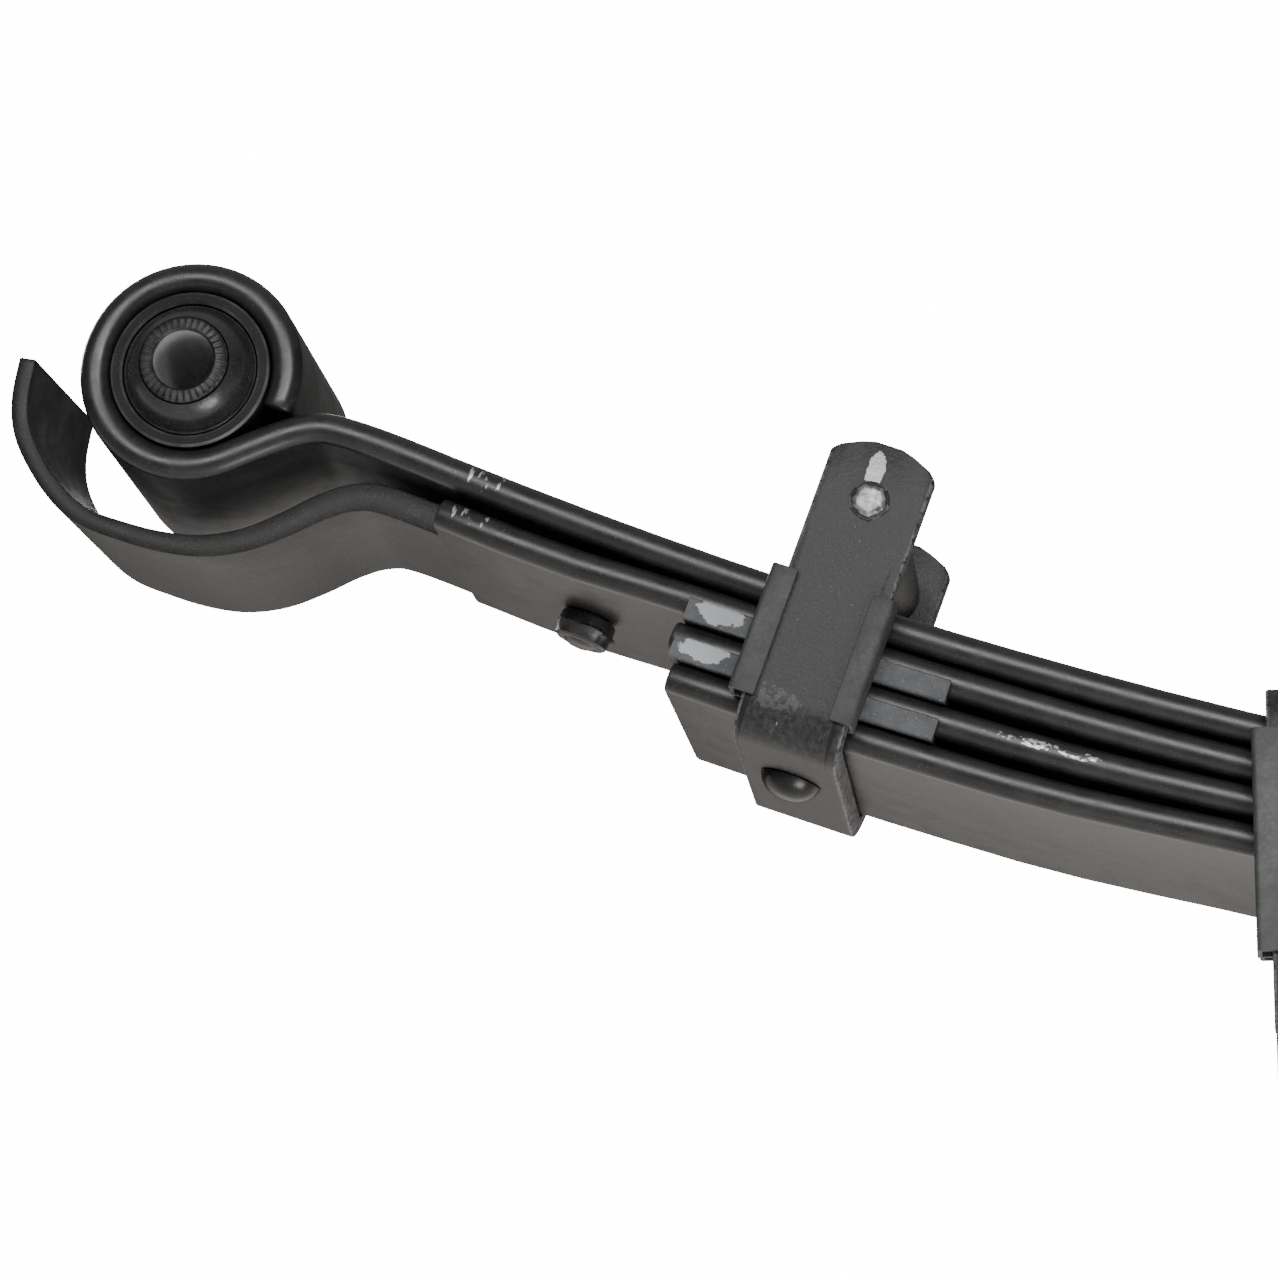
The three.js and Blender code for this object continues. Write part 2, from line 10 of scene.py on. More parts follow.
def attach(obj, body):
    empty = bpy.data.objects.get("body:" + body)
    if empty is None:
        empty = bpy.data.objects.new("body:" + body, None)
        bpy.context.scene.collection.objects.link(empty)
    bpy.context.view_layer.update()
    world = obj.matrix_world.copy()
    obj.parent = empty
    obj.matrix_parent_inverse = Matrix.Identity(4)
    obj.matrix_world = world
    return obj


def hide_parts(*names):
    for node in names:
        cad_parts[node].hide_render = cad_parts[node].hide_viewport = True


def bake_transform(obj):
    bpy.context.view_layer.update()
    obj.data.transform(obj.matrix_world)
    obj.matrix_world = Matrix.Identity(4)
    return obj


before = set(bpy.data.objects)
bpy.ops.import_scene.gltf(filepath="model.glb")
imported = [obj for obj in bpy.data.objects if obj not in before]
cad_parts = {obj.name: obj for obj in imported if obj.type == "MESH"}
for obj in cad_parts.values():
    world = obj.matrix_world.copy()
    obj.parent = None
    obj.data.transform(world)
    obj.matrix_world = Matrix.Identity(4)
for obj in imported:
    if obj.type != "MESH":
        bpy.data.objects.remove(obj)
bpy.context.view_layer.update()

# ------------------------------------------------------------------ camera, light and floor
# The camera stands low in front of the spring's front half and looks up at its underside. A
# white studio lies behind the spring and a dim room before it. Long soft lamps light the leaf
# edges, one lights the back, and a small low one lights the bush and the undersides.
camera_data = bpy.data.cameras.new("camera")
camera_data.lens = 157.75
camera_data.sensor_width = 36
camera_data.clip_end = 50
camera = bpy.data.objects.new("camera", camera_data)
camera.location = (-0.3481, -1.09975, -0.18115)
camera.rotation_euler = (radians(90 + 14.507), 0, radians(6.803))
bpy.context.scene.collection.objects.link(camera)
bpy.context.scene.camera = camera

ROOM_DIM = (0.06, 0.06, 0.061)
ROOM_BACK = (0.2, 0.192, 0.185)
ROOM_SWEEP = (1.2, 1.09, 0.99)
ROOM_CEILING = (0.42, 0.42, 0.42)
BACKDROP = (16, 16, 16)


def node(tree, kind, settings=None, **sockets):
    """Adds a node; a socket given as another node's output is linked, any other value is set."""
    made = tree.nodes.new("ShaderNode" + kind)
    for key, value in (settings or {}).items():
        setattr(made, key, value)
    for key, value in sockets.items():
        socket = made.inputs[int(key[1:])] if key[0] == "_" else made.inputs[key]
        if isinstance(value, bpy.types.NodeSocket):
            tree.links.new(value, socket)
        else:
            socket.default_value = value
    return made


def math(tree, operation, a, b=0.0):
    return node(tree, "Math", {"operation": operation}, _0=a, _1=b).outputs[0]


def ramp(tree, value, low, high, to_low=0.0, to_high=1.0):
    """Value between low and high as a smooth share, or as another range."""
    made = node(tree, "MapRange", {"interpolation_type": "SMOOTHSTEP"}, Value=value)
    limits = {"From Min": low, "From Max": high, "To Min": to_low, "To Max": to_high}
    for key, number in limits.items():
        made.inputs[key].default_value = number
    return made.outputs["Result"]


def mixed(tree, share, a, b):
    """Colour a where the share is 0, b where it is 1; either may be another node's output."""
    made = node(tree, "Mix", {"data_type": "RGBA"}, Factor=share)
    for socket, value in ((made.inputs[6], a), (made.inputs[7], b)):
        if isinstance(value, bpy.types.NodeSocket):
            tree.links.new(value, socket)
        else:
            socket.default_value = (*value, 1)
    return made.outputs[2]


world = bpy.data.worlds.new("studio")
bpy.context.scene.world = world
world.use_nodes = True
room = world.node_tree
room_axes = node(room, "SeparateXYZ", _0=node(room, "TexCoord").outputs["Generated"])
sweep_low = ramp(room, room_axes.outputs["Z"], -0.12, -0.5)
sweep_back = ramp(room, room_axes.outputs["Y"], -0.1, 0.5)
room_light = mixed(room, ramp(room, room_axes.outputs["Y"], 0.75, 0.95), ROOM_DIM, ROOM_BACK)
room_light = mixed(room, math(room, "MULTIPLY", sweep_low, sweep_back), room_light, ROOM_SWEEP)
room_light = mixed(room, ramp(room, room_axes.outputs["Z"], 0.45, 0.9), room_light, ROOM_CEILING)
room_seen = mixed(room, node(room, "LightPath").outputs["Is Camera Ray"], room_light, BACKDROP)
room.links.new(room_seen, room.nodes["Background"].inputs["Color"])


def soft_lamp(name, place, target, width, height, power):
    """A rectangular soft box that faces its target."""
    data = bpy.data.lights.new(name, "AREA")
    data.shape = "RECTANGLE"
    data.size = width
    data.size_y = height
    data.energy = power
    lamp = bpy.data.objects.new(name, data)
    lamp.location = place
    lamp.visible_camera = False
    lamp.rotation_euler = (Vector(target) - Vector(place)).to_track_quat("-Z", "Y").to_euler()
    bpy.context.scene.collection.objects.link(lamp)


soft_lamp("long_lamp", (-0.55, -1.75, 0.56), (-0.35, 0, 0.08), 1.5, 0.3, 22)
soft_lamp("middle_lamp", (0.12, -1.75, 0.56), (-0.15, 0, 0.05), 0.6, 0.2, 11)
soft_lamp("back_lamp", (-1.5, 1.8, 1.1), (0, 0, 0.05), 1.8, 0.6, 45)
soft_lamp("low_lamp", (-0.21, -0.29, -0.49), (-0.567, 0, 0.157), 0.3, 0.3, 3)

# The floor glows softly behind the spring, as a lit studio sweep does. It is clear from below.
FLOOR_SIZE = 9
FLOOR_LEVEL = -0.9
FLOOR_NEAR = -0.2
FLOOR_FAR = 3.6
floor_work = bmesh.new()
bmesh.ops.create_grid(floor_work, x_segments=1, y_segments=1, size=FLOOR_SIZE)
bmesh.ops.translate(floor_work, vec=(0, 0, FLOOR_LEVEL), verts=floor_work.verts)
floor_mesh = bpy.data.meshes.new("floor")
floor_work.to_mesh(floor_mesh)
floor_work.free()
floor = bpy.data.objects.new("floor", floor_mesh)
bpy.context.scene.collection.objects.link(floor)
floor_paint = bpy.data.materials.new("floor_paint")
floor_paint.use_nodes = True
floor_tree = floor_paint.node_tree
floor_shader = floor_tree.nodes["Principled BSDF"]
floor_shader.inputs["Base Color"].default_value = (0.8, 0.79, 0.78, 1)
floor_shader.inputs["Roughness"].default_value = 0.8
floor_shader.inputs["Emission Strength"].default_value = 1.0
floor_axes = node(floor_tree, "SeparateXYZ", _0=node(floor_tree, "TexCoord").outputs["Object"])
floor_share = node(floor_tree, "MapRange", Value=floor_axes.outputs["Y"])
floor_share.inputs["From Min"].default_value = FLOOR_NEAR
floor_share.inputs["From Max"].default_value = FLOOR_FAR
floor_lit = node(floor_tree, "ValToRGB", Fac=floor_share.outputs["Result"])
floor_lit.color_ramp.elements[0].color = (0.02, 0.02, 0.02, 1)
floor_lit.color_ramp.elements[1].position = 0.45
floor_lit.color_ramp.elements[1].color = (1.4, 1.27, 1.15, 1)
floor_lit.color_ramp.elements.new(1.0).color = (0.1, 0.1, 0.1, 1)
floor_tree.links.new(floor_lit.outputs["Color"], floor_shader.inputs["Emission Color"])
floor_clear = node(floor_tree, "BsdfTransparent").outputs["BSDF"]
floor_sides = node(floor_tree, "MixShader", _0=node(floor_tree, "NewGeometry").outputs["Backfacing"],
                   _1=floor_shader.outputs["BSDF"], _2=floor_clear)
floor_out = floor_tree.nodes["Material Output"].inputs["Surface"]
floor_tree.links.new(floor_sides.outputs["Shader"], floor_out)
floor_mesh.materials.append(floor_paint)

# ------------------------------------------------------------------ leaf one and its two eyes
# The master leaf is a rolled spring-steel bar with round edges, cambered hot and curled up at
# both ends into the eyes that hold the bushes, then painted black. It is made in two halves
# that meet over the seat.
LEAF_WIDTH = 0.0635
LEAF_THICK = 0.00635
ROLLED_EDGE = 0.0029
SEAT_GAP = 0.00035
SEAT_HALF = 0.044
CAMBER_RADIUS = 1.146
PACK_TOP = 0.03625
EYE_X = 0.5675
EYE_Z = PACK_TOP + 0.1205
EYE_MIDDLE = 0.0167 + LEAF_THICK / 2
EYE_JOIN = 0.527
EYE_OPENS = radians(-26)
EYE_LEAVES = radians(290)
EYE_CREST = Vector((0.0265, 0, -0.0129))
LOOP_EVERY = 0.015
EDGE_STEPS = 7


def ease(value, low, high):
    """A smooth step from 0 at low to 1 at high."""
    share = min(1, max(0, (value - low) / (high - low)))
    return share * share * (3 - 2 * share)


def on_arch(arc, depth):
    """A point `depth` below leaf one's top face and the upward way there; arc is the distance
    along that face from the seat, negative to the front."""
    side = -1 if arc < 0 else 1
    turn = max(0, abs(arc) - SEAT_HALF) / CAMBER_RADIUS
    level = min(abs(arc), SEAT_HALF)
    up = Vector((-side * sin(turn), 0, cos(turn)))
    top = Vector((side * (level + CAMBER_RADIUS * sin(turn)), 0,
                  PACK_TOP + CAMBER_RADIUS * (1 - cos(turn))))
    return top - depth * up, up


def steps_between(start, end, length):
    """Evenly spaced values from start to end, about `length` apart."""
    count = max(2, round(abs(end - start) / length))
    return [start + (end - start) * i / count for i in range(count + 1)]


def arch_stations(arcs, top):
    """Places along a leaf: its distance, middle point, upward way and half thickness."""
    return [(arc, *on_arch(arc, top(arc) + LEAF_THICK / 2), LEAF_THICK / 2) for arc in arcs]


def along_line(points):
    """For each point of a line: its distance from the last point, itself and the upward way."""
    distances = [0]
    for before, after in zip(points, points[1:]):
        distances.append(distances[-1] + (after - before).length)
    for i, point in enumerate(points):
        along = (points[min(i + 1, len(points) - 1)] - points[max(i - 1, 0)]).normalized()
        yield distances[i] - distances[-1], point, Vector((-along.z, 0, along.x))


def eye_stations():
    """The front eye from its free end, round over the top, under, and up over the crest."""
    centre = Vector((-EYE_X, 0, EYE_Z))
    points = []
    for angle in steps_between(EYE_OPENS, EYE_LEAVES, radians(6)):
        points.append(centre + EYE_MIDDLE * Vector((cos(angle), 0, sin(angle))))
    way = Vector((-sin(EYE_LEAVES), 0, cos(EYE_LEAVES)))
    crest = centre + EYE_CREST
    end, end_up = on_arch(-EYE_JOIN, LEAF_THICK / 2)
    end_way = Vector((end_up.z, 0, -end_up.x))
    level = Vector((1, 0, 0))
    rise = (points[-1], points[-1] + 0.008 * way, crest - 0.006 * level, crest)
    fall = (crest, crest + 0.005 * level, end - 0.006 * end_way, end)
    points += interpolate_bezier(*rise, 11)[1:] + interpolate_bezier(*fall, 11)[1:]
    stations = [(before_end - EYE_JOIN, point, up, LEAF_THICK / 2)
                for before_end, point, up in along_line(points)]
    stations[-1] = (stations[-1][0], end, end_up, LEAF_THICK / 2)
    return stations


def straight_bar(start, end, width, thickness, edge, edge_steps, end_edge, ends):
    """A flat bar along X with rounded long edges; `ends` says which ends are eased, -1 or 1."""
    bar = bmesh.new()
    bmesh.ops.create_cube(bar, size=1)
    bmesh.ops.scale(bar, vec=(end - start, width, thickness), verts=bar.verts)
    bmesh.ops.translate(bar, vec=((start + end) / 2, 0, 0), verts=bar.verts)
    if edge:
        long_edges = [e for e in bar.edges if abs(e.verts[0].co.x - e.verts[1].co.x) > 1e-6]
        bmesh.ops.bevel(bar, geom=long_edges, offset=edge, segments=edge_steps, profile=0.5,
                        affect="EDGES", material=-1)
    if end_edge:
        places = [start if way < 0 else end for way in ends]
        rims = [e for e in bar.edges
                if any(all(abs(v.co.x - place) < 1e-6 for v in e.verts) for place in places)]
        bmesh.ops.bevel(bar, geom=rims, offset=end_edge, segments=2, profile=0.5,
                        affect="EDGES", material=-1)
    return bar


def cut_across(bar, places, axis=0):
    """Extra loops across a bar, so that it can bend there."""
    normal = [0, 0, 0]
    normal[axis] = 1
    for place in places:
        point = [0, 0, 0]
        point[axis] = place
        bmesh.ops.bisect_plane(bar, geom=bar.verts[:] + bar.edges[:] + bar.faces[:], dist=1e-7,
                               plane_co=point, plane_no=normal)


def bend_bar(bar, stations, across=(0, 1, 0)):
    """Lays a straight bar on its stations. The attribute `bar` keeps where each point was on
    the straight bar, so that grain and wear follow the steel."""
    distances = [s[0] for s in stations]
    cut_across(bar, distances[1:-1])
    kept = bar.verts.layers.float_vector.new("bar")
    sideways = Vector(across)
    for v in bar.verts:
        v[kept] = v.co
        i = min(max(bisect.bisect_right(distances, v.co.x) - 1, 0), len(stations) - 2)
        (s0, p0, u0, h0), (s1, p1, u1, h1) = stations[i], stations[i + 1]
        share = (v.co.x - s0) / (s1 - s0)
        up = u0.lerp(u1, share).normalized()
        height = v.co.z / (LEAF_THICK / 2) * (h0 + (h1 - h0) * share)
        v.co = p0.lerp(p1, share) + height * up + v.co.y * sideways
    return bar


def finished(name, work, *finishes, sharp=38):
    """The worked mesh as an object, smooth except where it turns a corner. More finishes than
    one are chosen by the faces' material numbers."""
    bmesh.ops.recalc_face_normals(work, faces=work.faces)
    for face in work.faces:
        face.smooth = True
    for edge in work.edges:
        if len(edge.link_faces) == 2 and edge.calc_face_angle() > radians(sharp):
            edge.smooth = False
    mesh = bpy.data.meshes.new(name)
    work.to_mesh(mesh)
    work.free()
    for finish in finishes:
        mesh.materials.append(finish)
    piece = bpy.data.objects.new(name, mesh)
    bpy.context.scene.collection.objects.link(piece)
    return piece


def new_group(name, inputs, outputs):
    """An empty node group with its sockets; each input is a name, a kind and a value."""
    tree = bpy.data.node_groups.new(name, "ShaderNodeTree")
    for socket, kind, value in inputs:
        made = tree.interface.new_socket(socket, in_out="INPUT", socket_type=kind)
        made.default_value = value
    for socket in outputs:
        tree.interface.new_socket(socket, in_out="OUTPUT", socket_type="NodeSocketFloat")
    return tree, tree.nodes.new("NodeGroupInput"), tree.nodes.new("NodeGroupOutput")


# Sprayed paint: a slow change of tone, a fine orange peel and pin-head specks of dust.
peel, peel_in, peel_out = new_group(
    "paint_peel",
    [("Vector", "NodeSocketVector", (0, 0, 0)), ("Coarse", "NodeSocketFloat", 160),
     ("Fine", "NodeSocketFloat", 1500)],
    ["Tone", "Peel", "Dust"],
)
peel_at = peel_in.outputs["Vector"]
peel_slow = node(peel, "TexNoise", Vector=peel_at, Scale=peel_in.outputs["Coarse"], Detail=6.0,
                 Roughness=0.62)
peel_fast = node(peel, "TexNoise", Vector=peel_at, Scale=peel_in.outputs["Fine"], Detail=2.0,
                 Roughness=0.5)
peel_specks = node(peel, "TexVoronoi", Vector=peel_at,
                   Scale=math(peel, "MULTIPLY", peel_in.outputs["Fine"], 0.75))
peel.links.new(peel_slow.outputs[0], peel_out.inputs["Tone"])
peel.links.new(peel_fast.outputs[0], peel_out.inputs["Peel"])
peel.links.new(ramp(peel, peel_specks.outputs["Distance"], 0.16, 0.08), peel_out.inputs["Dust"])

# A place for worn or scratched paint and for lines of painted shade: noise stretched by Streak, let
# through only round Centre.
worn, worn_in, worn_out = new_group(
    "wear_and_shade_place",
    [("Vector", "NodeSocketVector", (0, 0, 0)), ("Centre", "NodeSocketVector", (0, 0, 0)),
     ("Reach", "NodeSocketVector", (1, 1, 1)), ("Streak", "NodeSocketVector", (1, 1, 1)),
     ("Cover", "NodeSocketFloat", 0.5)],
    ["Mask"],
)
worn_from = node(worn, "VectorMath", {"operation": "SUBTRACT"}, _0=worn_in.outputs["Vector"],
                 _1=worn_in.outputs["Centre"])
worn_scaled = node(worn, "VectorMath", {"operation": "DIVIDE"}, _0=worn_from.outputs[0],
                   _1=worn_in.outputs["Reach"])
worn_far = node(worn, "VectorMath", {"operation": "LENGTH"}, _0=worn_scaled.outputs[0])
worn_near = ramp(worn, worn_far.outputs["Value"], 1.0, 0.25)
worn_grain = node(worn, "VectorMath", {"operation": "MULTIPLY"}, _0=worn_in.outputs["Vector"],
                  _1=worn_in.outputs["Streak"])
worn_noise = node(worn, "TexNoise", Vector=worn_grain.outputs[0], Scale=1.0, Detail=5.0,
                  Roughness=0.6)
worn_cover = math(worn, "MULTIPLY", worn_near, worn_in.outputs["Cover"])
worn_sum = math(worn, "ADD", worn_noise.outputs[0], worn_cover)
worn_inside = ramp(worn, worn_far.outputs["Value"], 1.0, 0.8)
worn_mask = math(worn, "MULTIPLY", ramp(worn, worn_sum, 0.78, 0.86), worn_inside)
worn.links.new(worn_mask, worn_out.inputs["Mask"])


def wear_and_shade_mask_at(tree, where, spot):
    """The wear-and-shade group set for one spot: its centre, reach, streak and cover."""
    place = tree.nodes.new("ShaderNodeGroup")
    place.node_tree = worn
    tree.links.new(where, place.inputs["Vector"])
    for socket, value in zip(("Centre", "Reach", "Streak", "Cover"), spot):
        place.inputs[socket].default_value = value
    return place.outputs["Mask"]


def pattern_place(tree, follow):
    """Where a pattern is read: on the straight bar, or in the object's own axes."""
    if follow == "bar":
        return node(tree, "Attribute", {"attribute_name": "bar"}).outputs["Vector"]
    return node(tree, "TexCoord").outputs["Object"]


def relief_on(tree, shader, height, strength):
    relief = node(tree, "Bump", Height=height, Strength=strength, Distance=0.0001)
    tree.links.new(relief.outputs["Normal"], shader.inputs["Normal"])


def painted_steel(name, dark, light, rough, marks=(), follow="bar", dust=0.25, bump=0.1,
                  bare=(0.42, 0.42, 0.43), coarse=160, half_width=0, specular=0.5, grime_and_shade=()):
    """Painted spring steel. Each mark is a place worn to the metal: centre, reach, streak and
    cover. Grime and painted shade are given the same way, with a colour of their own at the end.
    A half width gives the paint lighter long edges: worn there, with a painted highlight too."""
    paint = bpy.data.materials.new(name)
    paint.use_nodes = True
    tree = paint.node_tree
    shader = tree.nodes["Principled BSDF"]
    shader.inputs["Specular IOR Level"].default_value = specular
    where = pattern_place(tree, follow)
    spray = tree.nodes.new("ShaderNodeGroup")
    spray.node_tree = peel
    tree.links.new(where, spray.inputs["Vector"])
    spray.inputs["Coarse"].default_value = coarse
    spray.inputs["Fine"].default_value = 1500
    tone = ramp(tree, spray.outputs["Tone"], 0.3, 0.7)
    colour = mixed(tree, tone, dark, light)
    dusty = math(tree, "MULTIPLY", spray.outputs["Dust"], dust)
    colour = mixed(tree, dusty, colour, (0.2, 0.2, 0.2))
    roughness = ramp(tree, spray.outputs["Tone"], 0.25, 0.75, rough - 0.05, rough + 0.07)
    # Grime spots and lines of painted shade, each with a colour of its own.
    for spot in grime_and_shade:
        colour = mixed(tree, wear_and_shade_mask_at(tree, where, spot), colour, spot[4])
    # Long edges made lighter: paint worn there, and a painted highlight along them.
    if half_width:
        across = math(tree, "ABSOLUTE", node(tree, "SeparateXYZ", _0=where).outputs["Y"])
        rubbed_and_highlit = ramp(tree, across, half_width - 0.0008, half_width - 0.0003, 0.0, 0.8)
        rubbed_and_highlit = math(tree, "MULTIPLY", rubbed_and_highlit, ramp(tree, spray.outputs["Tone"], 0.35, 0.6))
        colour = mixed(tree, rubbed_and_highlit, colour, (0.13, 0.13, 0.132))
    metal = None
    for spot in marks:
        mask = wear_and_shade_mask_at(tree, where, spot)
        metal = math(tree, "MAXIMUM", metal, mask) if metal else mask
    if metal:
        colour = mixed(tree, metal, colour, bare)
        tree.links.new(math(tree, "MULTIPLY", metal, 0.6), shader.inputs["Metallic"])
    tree.links.new(colour, shader.inputs["Base Color"])
    tree.links.new(roughness, shader.inputs["Roughness"])
    slow = math(tree, "MULTIPLY", spray.outputs["Tone"], 0.6)
    relief_on(tree, shader, math(tree, "ADD", spray.outputs["Peel"], slow), bump)
    return paint


def flexes(leaf, end, side, nodename):
    """Half a leaf: its placement is baked into the mesh and it stands for the whole leaf's node."""
    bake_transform(leaf)
    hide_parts(nodename)


LEAF_DARK = (0.0095, 0.0095, 0.01)
LEAF_LIGHT = (0.017, 0.0168, 0.0165)
near_edge = -LEAF_WIDTH / 2
leaf_one_paint = painted_steel(
    "leaf_one_paint", LEAF_DARK, LEAF_LIGHT, 0.35,
    marks=[((-0.5185, near_edge, 0.0005), (0.012, 0.004, 0.0042), (900, 200, 240), 0.27)],
)
front_eye = eye_stations()
front_arch = arch_stations(steps_between(-EYE_JOIN, 0, LOOP_EVERY)[1:], lambda arc: 0)
for end, side in (("front", -1), ("rear", 1)):
    stations = front_eye + front_arch
    bar = straight_bar(stations[0][0], 0, LEAF_WIDTH, LEAF_THICK, ROLLED_EDGE, EDGE_STEPS,
                       0.0006, (-1,))
    bend_bar(bar, stations)
    if side > 0:
        bmesh.ops.scale(bar, vec=(-1, 1, 1), verts=bar.verts)
    leaf = finished(f"leaf_one_{end}", bar, leaf_one_paint)
    flexes(leaf, end, side, "main_leaf")

# ------------------------------------------------------------------ leaf two and its wrap
# Leaf two backs the master leaf. Its front end is cropped narrower, tapered and bent up in
# front of the eye as a safety wrap; its rear end stops short of the rear eye on its own pad.
GAP = 0.0003
SECOND_REAR_TIP = 0.5
WRAP_WIDTH = 0.0455
WRAP_STEP = 0.5255
WRAP_TIP_HALF = 0.0018
WRAP_ROOT_HALF = LEAF_THICK / 2 - 0.00003
WRAP_OVERLAP = 0.012
WRAP_SKEW = 0.055
WRAP_POINTS = (
    (-35.6, 6.3), (-37.1, -3), (-35.8, -11.3), (-30.2, -21.2), (-23.6, -27.6), (-15, -31.3),
    (-6.6, -33.8), (1.5, -34.9), (10, -34), (18.3, -31.1), (26, -27.6), (33, -25.8), (40, -26.9),
)


def upper_gap(arc):
    out = abs(arc)
    gap = SEAT_GAP + 0.0006 * ease(out, 0.06, 0.36) - 0.00035 * ease(out, 0.36, 0.42)
    if arc > 0:
        return gap + 0.0011 * ease(out, 0.36, 0.45)
    return gap + 0.0016 * ease(out, 0.465, 0.505)


def second_top(arc):
    return LEAF_THICK + upper_gap(arc)


def wrap_stations():
    """A smooth line through the wrap's points and on into leaf two."""
    knots = [Vector((x / 1000 - EYE_X, 0, z / 1000 + EYE_Z)) for x, z in WRAP_POINTS]
    for inside in (0.006, WRAP_OVERLAP, 0.02):
        arc = inside - WRAP_STEP
        knots.append(on_arch(arc, second_top(arc) + LEAF_THICK / 2)[0])
    points = []
    for i in range(len(knots) - 2):
        before = knots[max(i - 1, 0)]
        after = knots[i + 2]
        reach_out = (knots[i + 1] - before) / 6
        reach_in = (after - knots[i]) / 6
        curve = (knots[i], knots[i] + reach_out, knots[i + 1] - reach_in, knots[i + 1])
        points += interpolate_bezier(*curve, 6)[:-1]
    points.append(knots[-2])
    stations = []
    for i, (before_end, point, up) in enumerate(along_line(points)):
        share = ease(i / len(points), 0.1, 0.95)
        half = WRAP_TIP_HALF + (WRAP_ROOT_HALF - WRAP_TIP_HALF) * share
        stations.append((before_end - WRAP_STEP + WRAP_OVERLAP, point, up, half))
    return stations


leaf_two_paint = painted_steel(
    "leaf_two_paint", LEAF_DARK, LEAF_LIGHT, 0.35,
    marks=[((-0.518, near_edge, 0.001), (0.012, 0.005, 0.004), (900, 200, 300), 0.25)],
)
wrap_paint = painted_steel("wrap_paint", LEAF_DARK, (0.0185, 0.0183, 0.0178), 0.46, dust=0.3,
                           bump=0.45, specular=0.26)
# A much darker copy of the leaf paint for the wrap's faces toward the eye: painted shade.
wrap_inside_shade = painted_steel("wrap_inside_shade", (0.0025, 0.0025, 0.0025), (0.005, 0.005, 0.005), 0.5,
                            dust=0.1, specular=0.25)
for end, side, arcs in (("front", -1, steps_between(-WRAP_STEP, 0, LOOP_EVERY)),
                        ("rear", 1, steps_between(0, SECOND_REAR_TIP, LOOP_EVERY))):
    bar = straight_bar(arcs[0], arcs[-1], LEAF_WIDTH, LEAF_THICK, ROLLED_EDGE, EDGE_STEPS,
                       0.0005, (side,))
    bend_bar(bar, arch_stations(arcs, second_top))
    if side < 0:
        stations = wrap_stations()
        tongue = straight_bar(stations[0][0], stations[-1][0], WRAP_WIDTH, LEAF_THICK, 0.0006, 2,
                              0.0005, (-1,))
        bend_bar(tongue, stations)
        for v in tongue.verts:
            share = 1 - ease(v.co.x, -EYE_X - 0.025, -EYE_X + 0.03)
            v.co.x += share * WRAP_SKEW * (v.co.y + WRAP_WIDTH / 2)
        tongue.normal_update()
        # Faces of the wrap turned toward the eye take the darker copy: painted shade in the hollow between
        # wrap and eye.
        for face in tongue.faces:
            spot = face.calc_center_median() - Vector((-EYE_X, 0, EYE_Z))
            to_eye = spot.x * face.normal.x + spot.z * face.normal.z < 0
            face.material_index = 2 if to_eye and abs(face.normal.y) < 0.5 else 1
        tongue_mesh = bpy.data.meshes.new("tongue")
        tongue.to_mesh(tongue_mesh)
        tongue.free()
        bar.from_mesh(tongue_mesh)
        bpy.data.meshes.remove(tongue_mesh)
    leaf = finished(f"leaf_two_{end}", bar, leaf_two_paint, wrap_paint, wrap_inside_shade)
    flexes(leaf, end, side, "second_leaf")

# ------------------------------------------------------------------ leaves three and four
# Two plain graduated leaves of the same bar, cut square at both ends. Leaf four is the lowest
# and carries the rivets of the tip clips.
THIRD_TIP = 0.4723
FOURTH_TIP = 0.47


def middle_gap(arc):
    out = abs(arc)
    return SEAT_GAP + 0.00035 * ease(out, 0.06, 0.36) + 0.00105 * ease(out, 0.35, 0.405)


def lower_gap(arc):
    out = abs(arc)
    return SEAT_GAP + 0.00065 * ease(out, 0.06, 0.36) + 0.00075 * ease(out, 0.35, 0.4)


def third_top(arc):
    return second_top(arc) + LEAF_THICK + middle_gap(arc)


def fourth_top(arc):
    return third_top(arc) + LEAF_THICK + lower_gap(arc)


def pack_depth(arc):
    return fourth_top(arc) + LEAF_THICK


leaf_three_paint = painted_steel(
    "leaf_three_paint", LEAF_DARK, LEAF_LIGHT, 0.35,
    marks=[((-0.396, near_edge, 0.0006), (0.022, 0.004, 0.0018), (500, 200, 900), 0.3)],
)
leaf_four_paint = painted_steel("leaf_four_paint", LEAF_DARK, LEAF_LIGHT, 0.35)
for name, nodename, tip, top, paint in (
        ("leaf_three", "third_leaf", THIRD_TIP, third_top, leaf_three_paint),
        ("leaf_four", "fourth_leaf", FOURTH_TIP, fourth_top, leaf_four_paint)):
    for end, side in (("front", -1), ("rear", 1)):
        arcs = steps_between(-tip, 0, 0.014) if side < 0 else steps_between(0, tip, 0.014)
        bar = straight_bar(arcs[0], arcs[-1], LEAF_WIDTH, LEAF_THICK, ROLLED_EDGE, EDGE_STEPS,
                           0.0007, (side,))
        bend_bar(bar, arch_stations(arcs, top))
        leaf = finished(f"{name}_{end}", bar, paint)
        flexes(leaf, end, side, nodename)

# ------------------------------------------------------------------ centre bolt and nut
# A turned steel bolt clamps the four leaves. Its round head is the stud that drops into the
# axle seat, and a plain hexagon nut closes it on top; both are zinc plated.
BOLT_HEAD_HEIGHT = 0.0095
BOLT_HEAD_RADIUS = 0.008
BOLT_RADIUS = 0.0046
NUT_FLATS = 0.016
NUT_HEIGHT = 0.008
THREAD_SLACK = 0.00035


